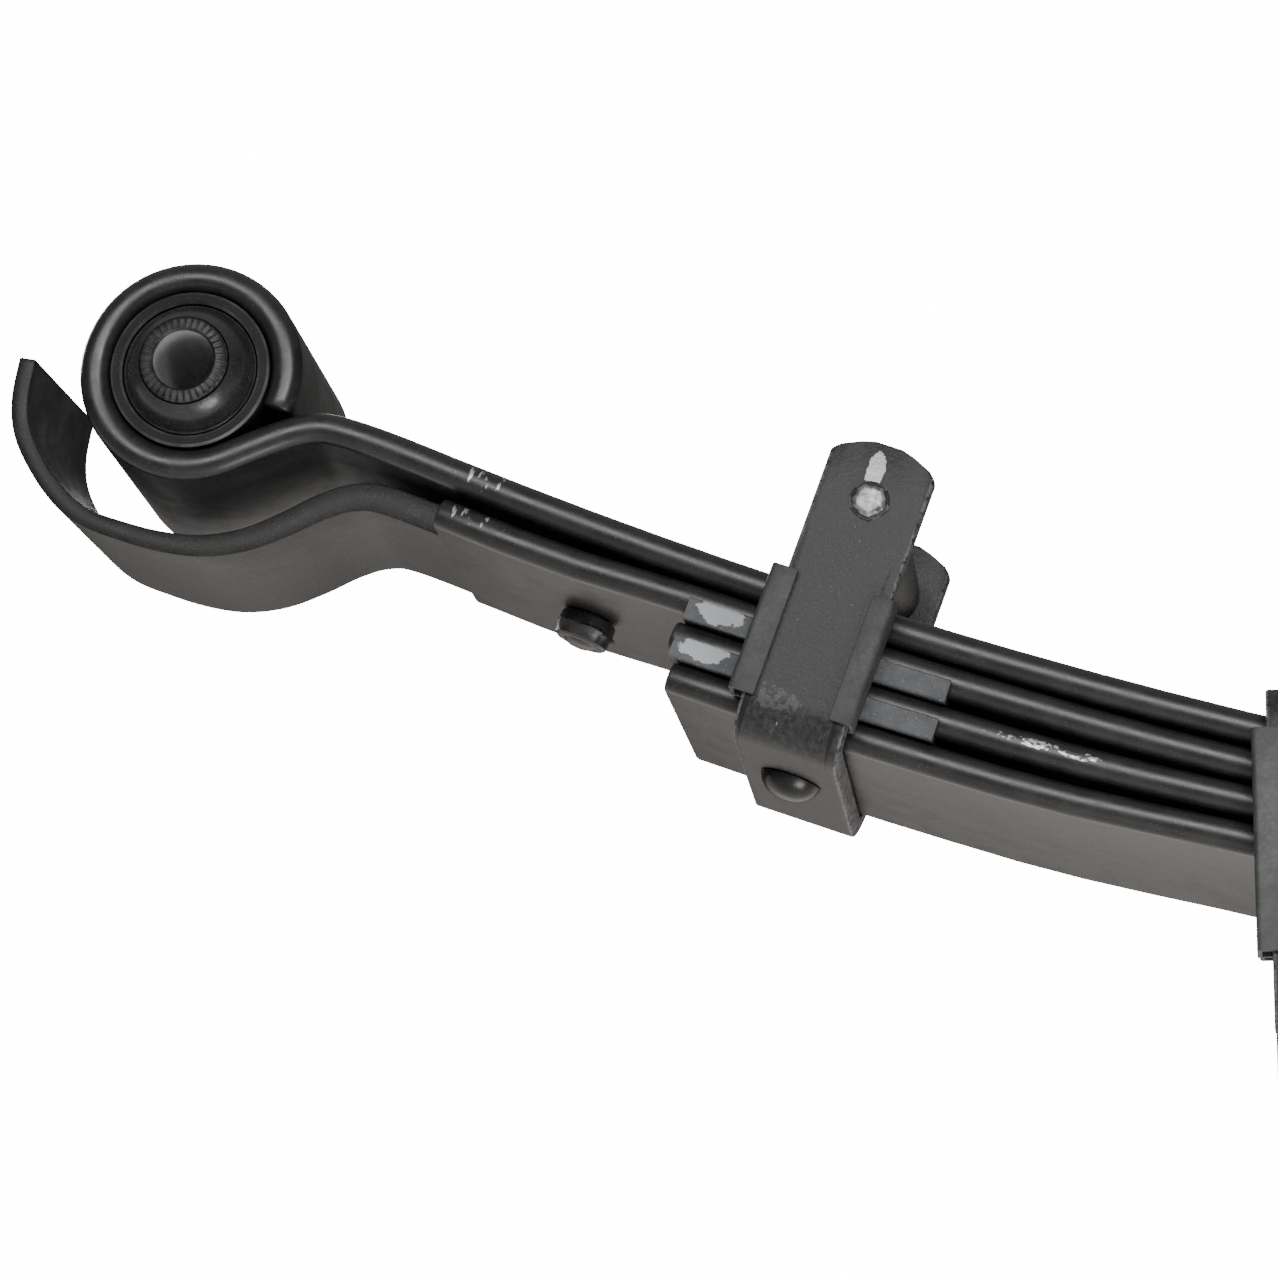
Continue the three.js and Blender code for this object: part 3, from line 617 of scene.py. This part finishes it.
def turned(profile, steps=64, closed=False):
    """A lathe-turned piece standing along Z, from its half outline of (radius, height)."""
    work = bmesh.new()
    points = [work.verts.new((radius, 0, height)) for radius, height in profile]
    pairs = list(zip(points, points[1:])) + ([(points[-1], points[0])] if closed else [])
    lines = [work.edges.new(pair) for pair in pairs]
    bmesh.ops.spin(work, geom=points + lines, cent=(0, 0, 0), axis=(0, 0, 1), angle=2 * pi,
                   steps=steps, use_merge=True, use_duplicate=False)
    bmesh.ops.remove_doubles(work, verts=work.verts, dist=1e-6)
    return work


def both_ends(half):
    """The outline of a piece with two like ends, from its upper end's outline."""
    return [(radius, -height) for radius, height in reversed(half)] + half


def thread(radius, bottom, top, pitch=0.00125):
    """The zigzag outline of a threaded end."""
    outline = []
    for i in range(int((top - bottom) / pitch)):
        height = bottom + i * pitch
        outline += [(radius, height), (radius - 0.00055, height + pitch / 2)]
    return outline


def off_flat(point):
    """The angle from the middle of a hexagon's nearest flat to a point round it."""
    return (atan2(point.y, point.x) + pi / 6) % (pi / 3) - pi / 6


def hexagon_nut(across_flats, bore, height):
    """A nut whose chamfered corners stand out from a turned blank."""
    half = height / 2
    flat = across_flats / 2
    face = [(flat, half), (flat * 0.95, half), (bore + 0.0005, half), (bore, half - 0.0004)]
    work = turned(both_ends(face), 48, closed=True)
    for v in work.verts:
        radius = v.co.xy.length
        if radius > flat * 0.99:
            wide = flat / cos(off_flat(v.co))
            drop = (wide - flat * 0.95) * tan(radians(30))
            v.co.xy = v.co.xy * (wide / radius)
            v.co.z -= drop if v.co.z > 0 else -drop
    return work


def metal_finish(name, dark, light, rough, metallic=0.9, grain=(900, 900, 900), bump=0.25):
    """Plated or bare steel with fine brushed grain and duller patches."""
    steel = bpy.data.materials.new(name)
    steel.use_nodes = True
    tree = steel.node_tree
    shader = tree.nodes["Principled BSDF"]
    shader.inputs["Metallic"].default_value = metallic
    where = node(tree, "TexCoord").outputs["Object"]
    stretched = node(tree, "Mapping", _0=where, _3=grain).outputs[0]
    fine = node(tree, "TexNoise", Vector=stretched, Scale=1.0, Detail=5.0, Roughness=0.6).outputs[0]
    slow = node(tree, "TexNoise", Vector=where, Scale=220.0, Detail=4.0).outputs[0]
    halves = math(tree, "MULTIPLY", fine, 0.5), math(tree, "MULTIPLY", slow, 0.5)
    share = ramp(tree, math(tree, "ADD", *halves), 0.35, 0.65)
    tree.links.new(mixed(tree, share, dark, light), shader.inputs["Base Color"])
    roughness = ramp(tree, slow, 0.3, 0.7, rough - 0.08, rough + 0.12)
    tree.links.new(roughness, shader.inputs["Roughness"])
    relief_on(tree, shader, fine, bump)
    return steel


def rides(piece, body, nodename):
    """A rigid piece: it moves with its body and stands for one node."""
    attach(piece, body)
    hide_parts(nodename)


zinc = metal_finish("zinc_plate", (0.22, 0.225, 0.23), (0.42, 0.43, 0.42), 0.38)
nut_middle = PACK_TOP + GAP + NUT_HEIGHT / 2
shank_top = PACK_TOP + GAP + NUT_HEIGHT + 0.003
bolt = turned(
    [(0, 0), (BOLT_HEAD_RADIUS - 0.0008, 0), (BOLT_HEAD_RADIUS, 0.0008),
     (BOLT_HEAD_RADIUS, BOLT_HEAD_HEIGHT - 0.0003), (BOLT_HEAD_RADIUS - 0.0003, BOLT_HEAD_HEIGHT),
     (BOLT_RADIUS, BOLT_HEAD_HEIGHT), (BOLT_RADIUS, PACK_TOP)]
    + thread(BOLT_RADIUS, PACK_TOP + 0.001, shank_top - 0.0006)
    + [(BOLT_RADIUS - 0.0009, shank_top), (0, shank_top)],
)
rides(finished("centre_bolt", bolt, zinc), "seat", "center_bolt")
centre_nut = hexagon_nut(NUT_FLATS, BOLT_RADIUS + THREAD_SLACK, NUT_HEIGHT)
bmesh.ops.translate(centre_nut, vec=(0, 0, nut_middle), verts=centre_nut.verts)
rides(finished("centre_nut", centre_nut, zinc, sharp=25), "seat", "center_nut")

# ------------------------------------------------------------------ bushes
# Each eye holds a pressed-in steel shell, rubber bonded inside it with grooved, cone-shaped
# ends, and a thick inner sleeve whose serrated end faces bite on the bracket under its bolt.
SHELL_BORE = 0.014
SHELL_RADIUS = 0.0164
SHELL_HALF = LEAF_WIDTH / 2 - 0.0005
SLEEVE_RADIUS = 0.009
SLEEVE_BORE = 0.0062
SLEEVE_HALF = 0.038
SERRATIONS = 36
TEETH_INNER = 0.0074
TOOTH_DEPTH = 0.0003


def moulded(name, dark, light, rough, marks=(), bump=0.4, follow="bar", bare=(0.3, 0.31, 0.33)):
    """Moulded rubber or plastic, with pale flaked places where marks say."""
    plastic = bpy.data.materials.new(name)
    plastic.use_nodes = True
    tree = plastic.node_tree
    shader = tree.nodes["Principled BSDF"]
    where = pattern_place(tree, follow)
    cloud = node(tree, "TexNoise", Vector=where, Scale=190.0, Detail=6.0, Roughness=0.65)
    fine = node(tree, "TexNoise", Vector=where, Scale=1100.0, Detail=4.0, Roughness=0.6).outputs[0]
    colour = mixed(tree, ramp(tree, cloud.outputs[0], 0.3, 0.7), dark, light)
    colour = mixed(tree, ramp(tree, fine, 0.55, 0.75, 0.0, 0.35), colour, bare)
    for spot in marks:
        colour = mixed(tree, wear_and_shade_mask_at(tree, where, spot), colour, bare)
    tree.links.new(colour, shader.inputs["Base Color"])
    roughness = ramp(tree, fine, 0.25, 0.75, rough - 0.06, rough + 0.08)
    tree.links.new(roughness, shader.inputs["Roughness"])
    relief_on(tree, shader, fine, bump)
    return plastic


shell_paint = painted_steel("shell_paint", (0.009, 0.009, 0.0095), (0.018, 0.018, 0.018), 0.7,
                            follow="object", specular=0.22)
# Lighter paint on the shell's chamfered rims: worn edges with a painted highlight.
shell_rim_wear_and_highlight = painted_steel("shell_rim_wear_and_highlight", (0.03, 0.03, 0.031), (0.08, 0.08, 0.082), 0.45,
                          follow="object")
rubber = moulded("bush_rubber", (0.014, 0.014, 0.0145), (0.026, 0.026, 0.026), 0.28,
                 follow="object", bare=(0.05, 0.05, 0.05), bump=0.3)
sleeve_steel = metal_finish("sleeve_steel", (0.02, 0.0205, 0.021), (0.055, 0.056, 0.057), 0.5,
                            metallic=0.7)
bore_steel = metal_finish("bore_steel", (0.3, 0.303, 0.306), (0.34, 0.343, 0.346), 0.6,
                          metallic=0.0)
shell_end = [(SHELL_RADIUS, SHELL_HALF - 0.0005), (SHELL_RADIUS - 0.0005, SHELL_HALF),
             (SHELL_BORE + 0.0005, SHELL_HALF), (SHELL_BORE, SHELL_HALF - 0.0005)]
rubber_end = [(0.0137, 0.0302), (0.01365, 0.0306), (0.0134, 0.0308), (0.0131, 0.03065),
              (0.01285, 0.0304), (0.0127, 0.0306), (0.0126, 0.0312), (0.0125, 0.032),
              (0.01225, 0.0331), (0.0118, 0.0342), (0.0111, 0.0353), (0.0103, 0.0362),
              (0.0096, 0.0368), (0.0093, 0.037)]
sleeve_end = [(SLEEVE_RADIUS, SLEEVE_HALF - 0.0004), (SLEEVE_RADIUS - 0.0002, SLEEVE_HALF - 0.0003),
              (0.0086, SLEEVE_HALF - 0.0001), (0.0075, SLEEVE_HALF),
              (SLEEVE_BORE + 0.0005, SLEEVE_HALF), (SLEEVE_BORE, SLEEVE_HALF - 0.0005)]
lie_across = Matrix.Rotation(-pi / 2, 4, "X")
for end, side in (("front", -1), ("rear", 1)):
    shell = turned(both_ends(shell_end), 96, True)
    # The chamfered rims take the lighter rim paint, a painted highlight on worn edges.
    for face in shell.faces:
        spot = face.calc_center_median()
        on_flat = SHELL_BORE + 0.0005 < spot.xy.length < SHELL_RADIUS - 0.0005
        face.material_index = 1 if abs(spot.z) > SHELL_HALF - 0.0004 and not on_flat else 0
    bonded = turned(both_ends(rubber_end), 96, True)
    sleeve = turned(both_ends(sleeve_end), SERRATIONS * 4, True)
    for v in sleeve.verts:
        if abs(v.co.z) > SLEEVE_HALF - 0.0005 and v.co.xy.length > TEETH_INNER:
            tooth = 0.5 + 0.5 * cos(SERRATIONS * atan2(v.co.y, v.co.x))
            v.co.z -= (TOOTH_DEPTH if v.co.z > 0 else -TOOTH_DEPTH) * tooth
    for face in sleeve.faces:
        in_bore = face.calc_center_median().xy.length < SLEEVE_BORE + 0.0001
        face.material_index = 1 if in_bore else 0
    at_eye = Matrix.Translation((side * EYE_X, 0, EYE_Z)) @ lie_across
    for work in (shell, bonded, sleeve):
        bmesh.ops.transform(work, matrix=at_eye, verts=work.verts)
    rides(finished(f"{end}_shell", shell, shell_paint, shell_rim_wear_and_highlight), f"{end}_arm",
          f"{end}_bush_shell")
    rides(finished(f"{end}_rubber", bonded, rubber), f"{end}_arm", f"{end}_bush_rubber")
    rides(finished(f"{end}_inner_sleeve", sleeve, sleeve_steel, bore_steel, sharp=30),
          f"{end}_sleeve", f"{end}_bush_sleeve")

# ------------------------------------------------------------------ pads between the leaves
# Thin plastic pads carry the sliding leaf tips. Each is a shallow channel: a base between two
# leaves and a low lip that stands up beside each edge of the upper leaf.
PAD_START = 0.417
PAD_END = 0.471
PAD_LIP = 0.0006
PAD_LIP_RISE = 0.0032
PAD_PATCH = 0.4645
PAD_DARK = (0.042, 0.044, 0.047)
PAD_LIGHT = (0.075, 0.078, 0.083)
pad_lip_y = -LEAF_WIDTH / 2 - GAP - PAD_LIP


def extruded(work, outline, way):
    """Pushes a closed outline out along a way."""
    section = work.faces.new([work.verts.new(point) for point in outline])
    pushed = bmesh.ops.extrude_face_region(work, geom=[section])["geom"]
    moved = [v for v in pushed if isinstance(v, bmesh.types.BMVert)]
    bmesh.ops.translate(work, vec=way, verts=moved)


def eased_corners(work, offset, angle, segments=2):
    """A small bevel on every edge that turns by more than the angle."""
    edges = [e for e in work.edges if len(e.link_faces) == 2 and e.calc_face_angle() > radians(angle)]
    bmesh.ops.bevel(work, geom=edges, offset=offset, segments=segments, profile=0.5,
                    affect="EDGES", material=-1)


def tip_pad(name, nodename, body, side, upper_bottom, gap, far, paint):
    """The channel from PAD_START to `far`, on the underside that `upper_bottom` gives."""
    arcs = steps_between(PAD_START, far, 0.009)
    outside = LEAF_WIDTH / 2 + GAP + PAD_LIP
    inside = LEAF_WIDTH / 2 + GAP
    work = bmesh.new()
    # The channel's section; its height is 0 under the base, 1 on it and 2 on top of the lips.
    outline = ((-outside, 0), (outside, 0), (outside, 2), (inside, 2), (inside, 1), (-inside, 1),
               (-inside, 2), (-outside, 2))
    extruded(work, [(arcs[0], y, level) for y, level in outline], (arcs[-1] - arcs[0], 0, 0))
    cut_across(work, arcs[1:-1])
    kept = work.verts.layers.float_vector.new("bar")
    for v in work.verts:
        arc = side * v.co.x
        base_top = upper_bottom(arc) + GAP
        rise = (base_top + gap(arc) - 2 * GAP, base_top, base_top - PAD_LIP_RISE)[round(v.co.z)]
        v[kept] = (arc, v.co.y, -rise)
        place, _ = on_arch(arc, rise)
        v.co = place + Vector((0, v.co.y, 0))
    eased_corners(work, 0.00014, 60)
    rides(finished(name, work, paint), body, nodename)


def below(top):
    """The underside of the leaf whose top face is given."""
    return lambda arc: top(arc) + LEAF_THICK


for end, side in (("front", -1), ("rear", 1)):
    for place, upper, gap in (("third", second_top, middle_gap), ("fourth", third_top, lower_gap)):
        at = side * PAD_PATCH
        patch = (at, pad_lip_y, -upper(at) - LEAF_THICK + 0.0015)
        paint = moulded(f"{end}_pad_{place}", PAD_DARK, PAD_LIGHT, 0.62, bare=(0.34, 0.36, 0.38),
                        marks=[(patch, (0.0085, 0.004, 0.004), (420, 300, 500), 0.5)])
        tip_pad(f"{end}_pad_{place}", f"{end}_tip_pad_{place}", f"{end}_arm", side, below(upper),
                gap, PAD_END, paint)
second_pad_paint = moulded("rear_pad_second", PAD_DARK, PAD_LIGHT, 0.5)
tip_pad("rear_pad_second", "rear_tip_pad_second", "rear_arm", 1, lambda arc: LEAF_THICK, upper_gap,
        SECOND_REAR_TIP, second_pad_paint)

# ------------------------------------------------------------------ wear plug
# A hard disc sits between leaves one and two in front of the tips. Its stem is pushed through
# a hole in leaf two, and a crimped barb below the leaf keeps it there.
PLUG_ARC = 0.4952
PLUG_STEM = 0.0043
PLUG_DISC = 0.009
PLUG_DISC_THICK = 0.0007
PLUG_BELOW = 0.0066


def on_pack(work, arc, depth, lean=True, turn=None):
    """Places a piece made round the origin, its own Z up, on the arched line."""
    place, up = on_arch(arc, depth)
    tilt = Matrix.Rotation(atan2(up.x, up.z) if lean else 0, 4, "Y")
    move = Matrix.Translation(place) @ tilt @ (turn or Matrix())
    bmesh.ops.transform(work, matrix=move, verts=work.verts)
    return work


stem_end = -upper_gap(-PLUG_ARC) - LEAF_THICK - PLUG_BELOW
plug = turned([(0, stem_end - 0.0002), (0.0022, stem_end - 0.0001), (0.003, stem_end + 0.0003),
               (0.0035, stem_end + 0.0007), (0.005, stem_end + 0.0007), (0.0055, stem_end + 0.0011),
               (0.0058, stem_end + 0.0026), (0.0062, stem_end + 0.0031), (0.0063, stem_end + 0.0035),
               (0.0059, stem_end + 0.0039), (0.0058, stem_end + 0.0058), (0.0055, stem_end + 0.0062),
               (PLUG_STEM, stem_end + 0.0063), (PLUG_STEM, -GAP - PLUG_DISC_THICK),
               (PLUG_DISC, -GAP - PLUG_DISC_THICK), (PLUG_DISC, -GAP), (0, -GAP)], 72)
for v in plug.verts:
    radius = v.co.xy.length
    if 0.006 < radius < 0.007:
        angle = atan2(v.co.y, v.co.x)
        v.co.xy *= 1 + 0.03 * sin(5 * angle) + 0.025 * sin(8 * angle + 1)
        v.co.z += 0.00015 * sin(6 * angle + 2)
plug_paint = painted_steel("plug_paint", (0.01, 0.01, 0.011), (0.035, 0.034, 0.033), 0.42,
                           follow="object", bump=0.6)
on_pack(plug, -PLUG_ARC, LEAF_THICK)
rides(finished("front_plug", plug, plug_paint), "front_arm", "front_wear_plug")

# ------------------------------------------------------------------ clip straps
# Flat steel strap is cropped with a crowned end, bent round the pack and painted. The tip clip
# is closed under leaf four; the inner clip is turned over and closed above leaf one.
CLIP_WIDTH = 0.0217
STRAP_THICK = 0.0046
STRAP_BEND = 0.005
LINER = 0.0013
LINER_FACE = LEAF_WIDTH / 2 + 0.0015
ARM_INNER = LINER_FACE + LINER + GAP
ARM_OUTER = ARM_INNER + STRAP_THICK
ARM_RISE = 0.03
CROSS_RISE = 0.018
TIP_CLIP = 0.444
TIP_YAW = radians(1.5)
INNER_CLIP = 0.345
INNER_SLOPE = (INNER_CLIP - SEAT_HALF) / CAMBER_RADIUS
BOLT_DROP = 0.025
ARM_DROP = 0.036
CROWN = 0.004
CROWN_LENGTH = 0.012
over = Matrix.Rotation(pi, 4, "X")
yaw = Matrix.Rotation(TIP_YAW, 4, "Z")


def strap(closed, opened):
    """A strap round the pack in its own axes: X along the leaves, Z away from the closed end."""
    middle = (ARM_INNER + ARM_OUTER) / 2
    radius = STRAP_BEND + STRAP_THICK / 2
    lower = closed - STRAP_THICK / 2
    path = [(Vector((0, -middle, opened)), Vector((0, -1, 0)))]
    for centre_y, first, last in ((-middle + radius, 180, 270), (middle - radius, 270, 360)):
        for angle in steps_between(radians(first), radians(last), radians(9)):
            way = Vector((0, cos(angle), sin(angle)))
            path.append((Vector((0, centre_y, lower + radius)) + radius * way, way))
    path.append((Vector((0, middle, opened)), Vector((0, 1, 0))))
    stations = []
    distance = 0
    for i, (point, up) in enumerate(path):
        distance += (point - path[i - 1][0]).length if i else 0
        stations.append((distance, point, up, LEAF_THICK / 2))
    bar = straight_bar(0, distance, CLIP_WIDTH, STRAP_THICK, 0, 1, 0, ())
    half = CLIP_WIDTH / 2
    cut_across(bar, [CROWN_LENGTH, distance - CROWN_LENGTH])
    shares = [sign * share for share in (0.25, 0.5, 0.7, 0.86) for sign in (-1, 1)] + [0]
    cut_across(bar, [share * half for share in shares], 1)
    for v in bar.verts:
        out = min(1, abs(v.co.y) / half)
        drop = CROWN * max(0, (out - 0.25) / 0.75) ** 2.2
        if v.co.x < CROWN_LENGTH - 1e-6:
            v.co.x += drop * (1 - v.co.x / CROWN_LENGTH)
        elif v.co.x > distance - CROWN_LENGTH + 1e-6:
            v.co.x -= drop * (1 - (distance - v.co.x) / CROWN_LENGTH)
    eased_corners(bar, 0.0005, 60)
    return bend_bar(bar, stations, across=(1, 0, 0))


CLIP_DARK = (0.006, 0.0062, 0.0065)
CLIP_LIGHT = (0.027, 0.0275, 0.028)
# Painted shade lies in dark lines beside both lips of the liner, and the paint is dulled over the bend.
LIP_SHADE = (0.003, 0.003, 0.003)
DULLED = (0.05, 0.052, 0.054)
clip_shade_and_dulling = [((0.045, 0.0086, 0.002), (0.03, 0.0008, 0.02), (60, 60, 60), 1.0, LIP_SHADE),
              ((0.0555, -0.004, 0.002), (0.004, 0.009, 0.01), (1100, 1100, 200), 0.36, DULLED),
              ((0.045, -0.0096, 0.002), (0.03, 0.0009, 0.02), (60, 60, 60), 1.0, LIP_SHADE)]
clip_look = {"dust": 0.15, "bump": 0.7, "specular": 0.38, "coarse": 800, "half_width": CLIP_WIDTH / 2}
clip_paint = painted_steel(
    "tip_clip_paint", CLIP_DARK, CLIP_LIGHT, 0.5, bare=(0.4, 0.4, 0.41), grime_and_shade=clip_shade_and_dulling,
    marks=[((0.0058, -0.0009, 0.002), (0.0062, 0.0026, 0.01), (330, 430, 200), 0.6),
           ((0.0575, -0.004, 0.002), (0.007, 0.011, 0.01), (1300, 1300, 200), 0.12),
           ((0.03, 0.0, 0.002), (0.04, 0.014, 0.01), (1500, 1500, 200), 0.1),
           ((0.012, 0.003, 0.002), (0.004, 0.0015, 0.01), (600, 900, 200), 0.2)],
    **clip_look,
)
inner_clip_paint = painted_steel("inner_clip_paint", (0.009, 0.009, 0.0095), (0.03, 0.03, 0.03),
                                 0.52, **clip_look)
for end, side in (("front", -1), ("rear", 1)):
    depth = pack_depth(side * TIP_CLIP)
    work = on_pack(strap(-depth - GAP, ARM_RISE), side * TIP_CLIP, 0, turn=yaw)
    rides(finished(f"{end}_tip_strap", work, clip_paint), f"{end}_arm", f"{end}_tip_clip_strap")
    bridge = CLIP_WIDTH / 2 * tan(INNER_SLOPE) + GAP
    hang = pack_depth(side * INNER_CLIP) / cos(INNER_SLOPE)
    work = on_pack(strap(-bridge, hang + ARM_DROP), side * INNER_CLIP, 0, lean=False, turn=over)
    rides(finished(f"{end}_inner_strap", work, inner_clip_paint), f"{end}_arm",
          f"{end}_inner_clip_strap")

# ------------------------------------------------------------------ clip liners
# Each arm slides into a moulded plastic channel that keeps it off the leaf edges: a floor
# against the leaves, a wall on each side of the arm and two lips folded over its face.
LINER_SLACK = 0.0019
LINER_WALLS = (0.00105, 0.0008)
LINER_LIPS = (0.0054, 0.0047)
LINER_LIP_THICK = 0.0013
INNER_LINER_NEAR = 0.017
INNER_LINER_FAR = 0.003


def liner(side, low, high):
    """The channel for one arm, from low to high; side -1 is the near arm."""
    slot_left = -CLIP_WIDTH / 2 - LINER_SLACK
    slot_right = CLIP_WIDTH / 2 + GAP
    left = slot_left - LINER_WALLS[0]
    right = slot_right + LINER_WALLS[1]
    lip_under = ARM_OUTER + GAP
    lip_top = lip_under + LINER_LIP_THICK
    arm_side = LINER_FACE + LINER
    outline = ((left, LINER_FACE), (right, LINER_FACE), (right, lip_top), (right - LINER_LIPS[1], lip_top),
               (right - LINER_LIPS[1], lip_under), (slot_right, lip_under), (slot_right, arm_side),
               (slot_left, arm_side), (slot_left, lip_under), (left + LINER_LIPS[0], lip_under),
               (left + LINER_LIPS[0], lip_top), (left, lip_top))
    work = bmesh.new()
    extruded(work, [(x, side * y, low) for x, y in outline], (0, 0, high - low))
    bmesh.ops.recalc_face_normals(work, faces=work.faces)
    outer = {v for v in work.verts
             if abs(v.co.y) > lip_under + 0.0001 and not left + 1e-5 <= v.co.x <= right - 1e-5}
    corners = [e for e in work.edges
               if abs(e.verts[0].co.z - e.verts[1].co.z) > 0.001 and outer.issuperset(e.verts)]
    bmesh.ops.bevel(work, geom=corners, offset=0.0011, segments=5, profile=0.5, affect="EDGES",
                    material=-1)
    eased_corners(work, 0.0002, 50)
    kept = work.verts.layers.float_vector.new("bar")
    for v in work.verts:
        v[kept] = v.co
    return work


tip_liner_plastic = moulded("tip_liner_plastic", (0.026, 0.0265, 0.027), (0.045, 0.046, 0.047),
                            0.62, bare=(0.09, 0.092, 0.095))
inner_liner_plastic = moulded("inner_liner_plastic", (0.03, 0.0305, 0.031), (0.055, 0.056, 0.057),
                              0.52, bare=(0.1, 0.1, 0.1))
for end, side in (("front", -1), ("rear", 1)):
    depth = pack_depth(side * TIP_CLIP)
    hang = pack_depth(side * INNER_CLIP) / cos(INNER_SLOPE)
    for place, hand, drop in (("near", -1, INNER_LINER_NEAR), ("far", 1, INNER_LINER_FAR)):
        work = on_pack(liner(hand, 0.003 - depth, 0), side * TIP_CLIP, 0, turn=yaw)
        rides(finished(f"{end}_tip_liner_{place}", work, tip_liner_plastic), f"{end}_arm",
              f"{end}_tip_clip_liner_{place}")
        work = on_pack(liner(-hand, 0.002, hang + drop), side * INNER_CLIP, 0, lean=False, turn=over)
        rides(finished(f"{end}_inner_liner_{place}", work, inner_liner_plastic), f"{end}_arm",
              f"{end}_inner_clip_liner_{place}")

# ------------------------------------------------------------------ clip pins, spacers and rivets
# The tip clip's arms are held apart by a tube on a pin that is peened over at both ends, and a
# domed rivet holds the strap to leaf four. The inner clip has a bolt and a nut instead.
CROSS_RADIUS = 0.0032
SPACER_RADIUS = 0.0065
RIVET_RADIUS = 0.004
RIVET_SHIFT = 0.0095
SMALL_NUT_FLATS = 0.013
SMALL_NUT_HEIGHT = 0.0065

spacer_paint = painted_steel("spacer_paint", (0.014, 0.014, 0.015), (0.04, 0.04, 0.04), 0.45,
                             follow="object")
rivet_paint = painted_steel("rivet_paint", (0.004, 0.004, 0.004), (0.009, 0.009, 0.009), 0.25,
                            follow="object", specular=0.35)
peened_steel = metal_finish("peened_steel", (0.1, 0.1, 0.105), (0.4, 0.4, 0.41), 0.42, bump=0.9)


def laid_across(work, height, along=0):
    """Lays a turned piece across the pack at a height, moved along itself."""
    move = Matrix.Translation((0, along, height)) @ lie_across
    bmesh.ops.transform(work, matrix=move, verts=work.verts)
    return work


def spacer(height):
    """The tube that keeps a clip's arms apart."""
    half = ARM_INNER - GAP
    tube_end = [(SPACER_RADIUS, half - 0.0003), (SPACER_RADIUS - 0.0003, half),
                (CROSS_RADIUS + THREAD_SLACK, half)]
    return laid_across(turned(both_ends(tube_end), 40, True), height)


peen = ARM_OUTER + GAP
pin_end = [(CROSS_RADIUS, peen - 0.0002), (0.004, peen - 0.0002), (0.0039, peen + 0.00005),
           (0.0032, peen + 0.00015), (0.0029, peen + 0.0005), (0.0022, peen + 0.00066),
           (0, peen + 0.0007)]
bolt_end = peen + SMALL_NUT_HEIGHT + 0.0025
for end, side in (("front", -1), ("rear", 1)):
    tip = side * TIP_CLIP
    depth = pack_depth(tip)
    body = f"{end}_arm"
    work = on_pack(spacer(CROSS_RISE), tip, 0, turn=yaw)
    rides(finished(f"{end}_tip_spacer", work, spacer_paint), body, f"{end}_tip_clip_spacer")

    pin = turned(both_ends(pin_end), 48)
    for v in pin.verts:
        if abs(v.co.z) > peen and v.co.xy.length > 0.002:
            angle = atan2(v.co.y, v.co.x)
            v.co.xy *= 1 + 0.05 * sin(5 * angle + 0.6) + 0.03 * sin(11 * angle)
    for face in pin.faces:
        face.material_index = 1 if face.calc_center_median().xy.length > 0.0033 else 0
    work = on_pack(laid_across(pin, CROSS_RISE), tip, 0, turn=yaw)
    rides(finished(f"{end}_tip_pin", work, peened_steel, spacer_paint, sharp=50), body,
          f"{end}_tip_clip_pin")

    under = -depth - GAP - STRAP_THICK - GAP
    rivet = turned([(0, under - 0.0042), (0.0015, under - 0.0041), (0.003, under - 0.0037),
                    (0.0044, under - 0.0029), (0.0055, under - 0.0018), (0.0061, under - 0.0007),
                    (0.0063, under), (RIVET_RADIUS, under), (RIVET_RADIUS, LEAF_THICK - depth),
                    (0, LEAF_THICK - depth)], 56)
    bmesh.ops.translate(rivet, vec=(0, -RIVET_SHIFT, 0), verts=rivet.verts)
    rides(finished(f"{end}_tip_rivet", on_pack(rivet, tip, 0, turn=yaw), rivet_paint), body,
          f"{end}_tip_clip_rivet")

    inner = side * INNER_CLIP
    bolt_at = pack_depth(inner) / cos(INNER_SLOPE) + BOLT_DROP
    work = on_pack(spacer(bolt_at), inner, 0, lean=False, turn=over)
    rides(finished(f"{end}_inner_spacer", work, spacer_paint), body, f"{end}_inner_clip_spacer")
    bolt = turned([(0, -peen - 0.0053), (0.0052, -peen - 0.0053), (0.0065, -peen - 0.0046),
                   (0.0065, -peen), (CROSS_RADIUS, -peen), (CROSS_RADIUS, peen - 0.001)]
                  + thread(CROSS_RADIUS, peen - 0.0005, bolt_end - 0.0005, 0.001)
                  + [(CROSS_RADIUS - 0.0007, bolt_end), (0, bolt_end)], 48)
    for v in bolt.verts:
        if v.co.xy.length > 0.006:
            v.co.xy *= cos(pi / 6) / cos(off_flat(v.co))
    work = on_pack(laid_across(bolt, bolt_at), inner, 0, lean=False, turn=over)
    rides(finished(f"{end}_inner_bolt", work, zinc, sharp=25), body, f"{end}_inner_clip_bolt")
    nut = hexagon_nut(SMALL_NUT_FLATS, CROSS_RADIUS + THREAD_SLACK, SMALL_NUT_HEIGHT)
    laid_across(nut, bolt_at, peen + SMALL_NUT_HEIGHT / 2)
    work = on_pack(nut, inner, 0, lean=False, turn=over)
    rides(finished(f"{end}_inner_nut", work, zinc, sharp=25), body, f"{end}_inner_clip_nut")
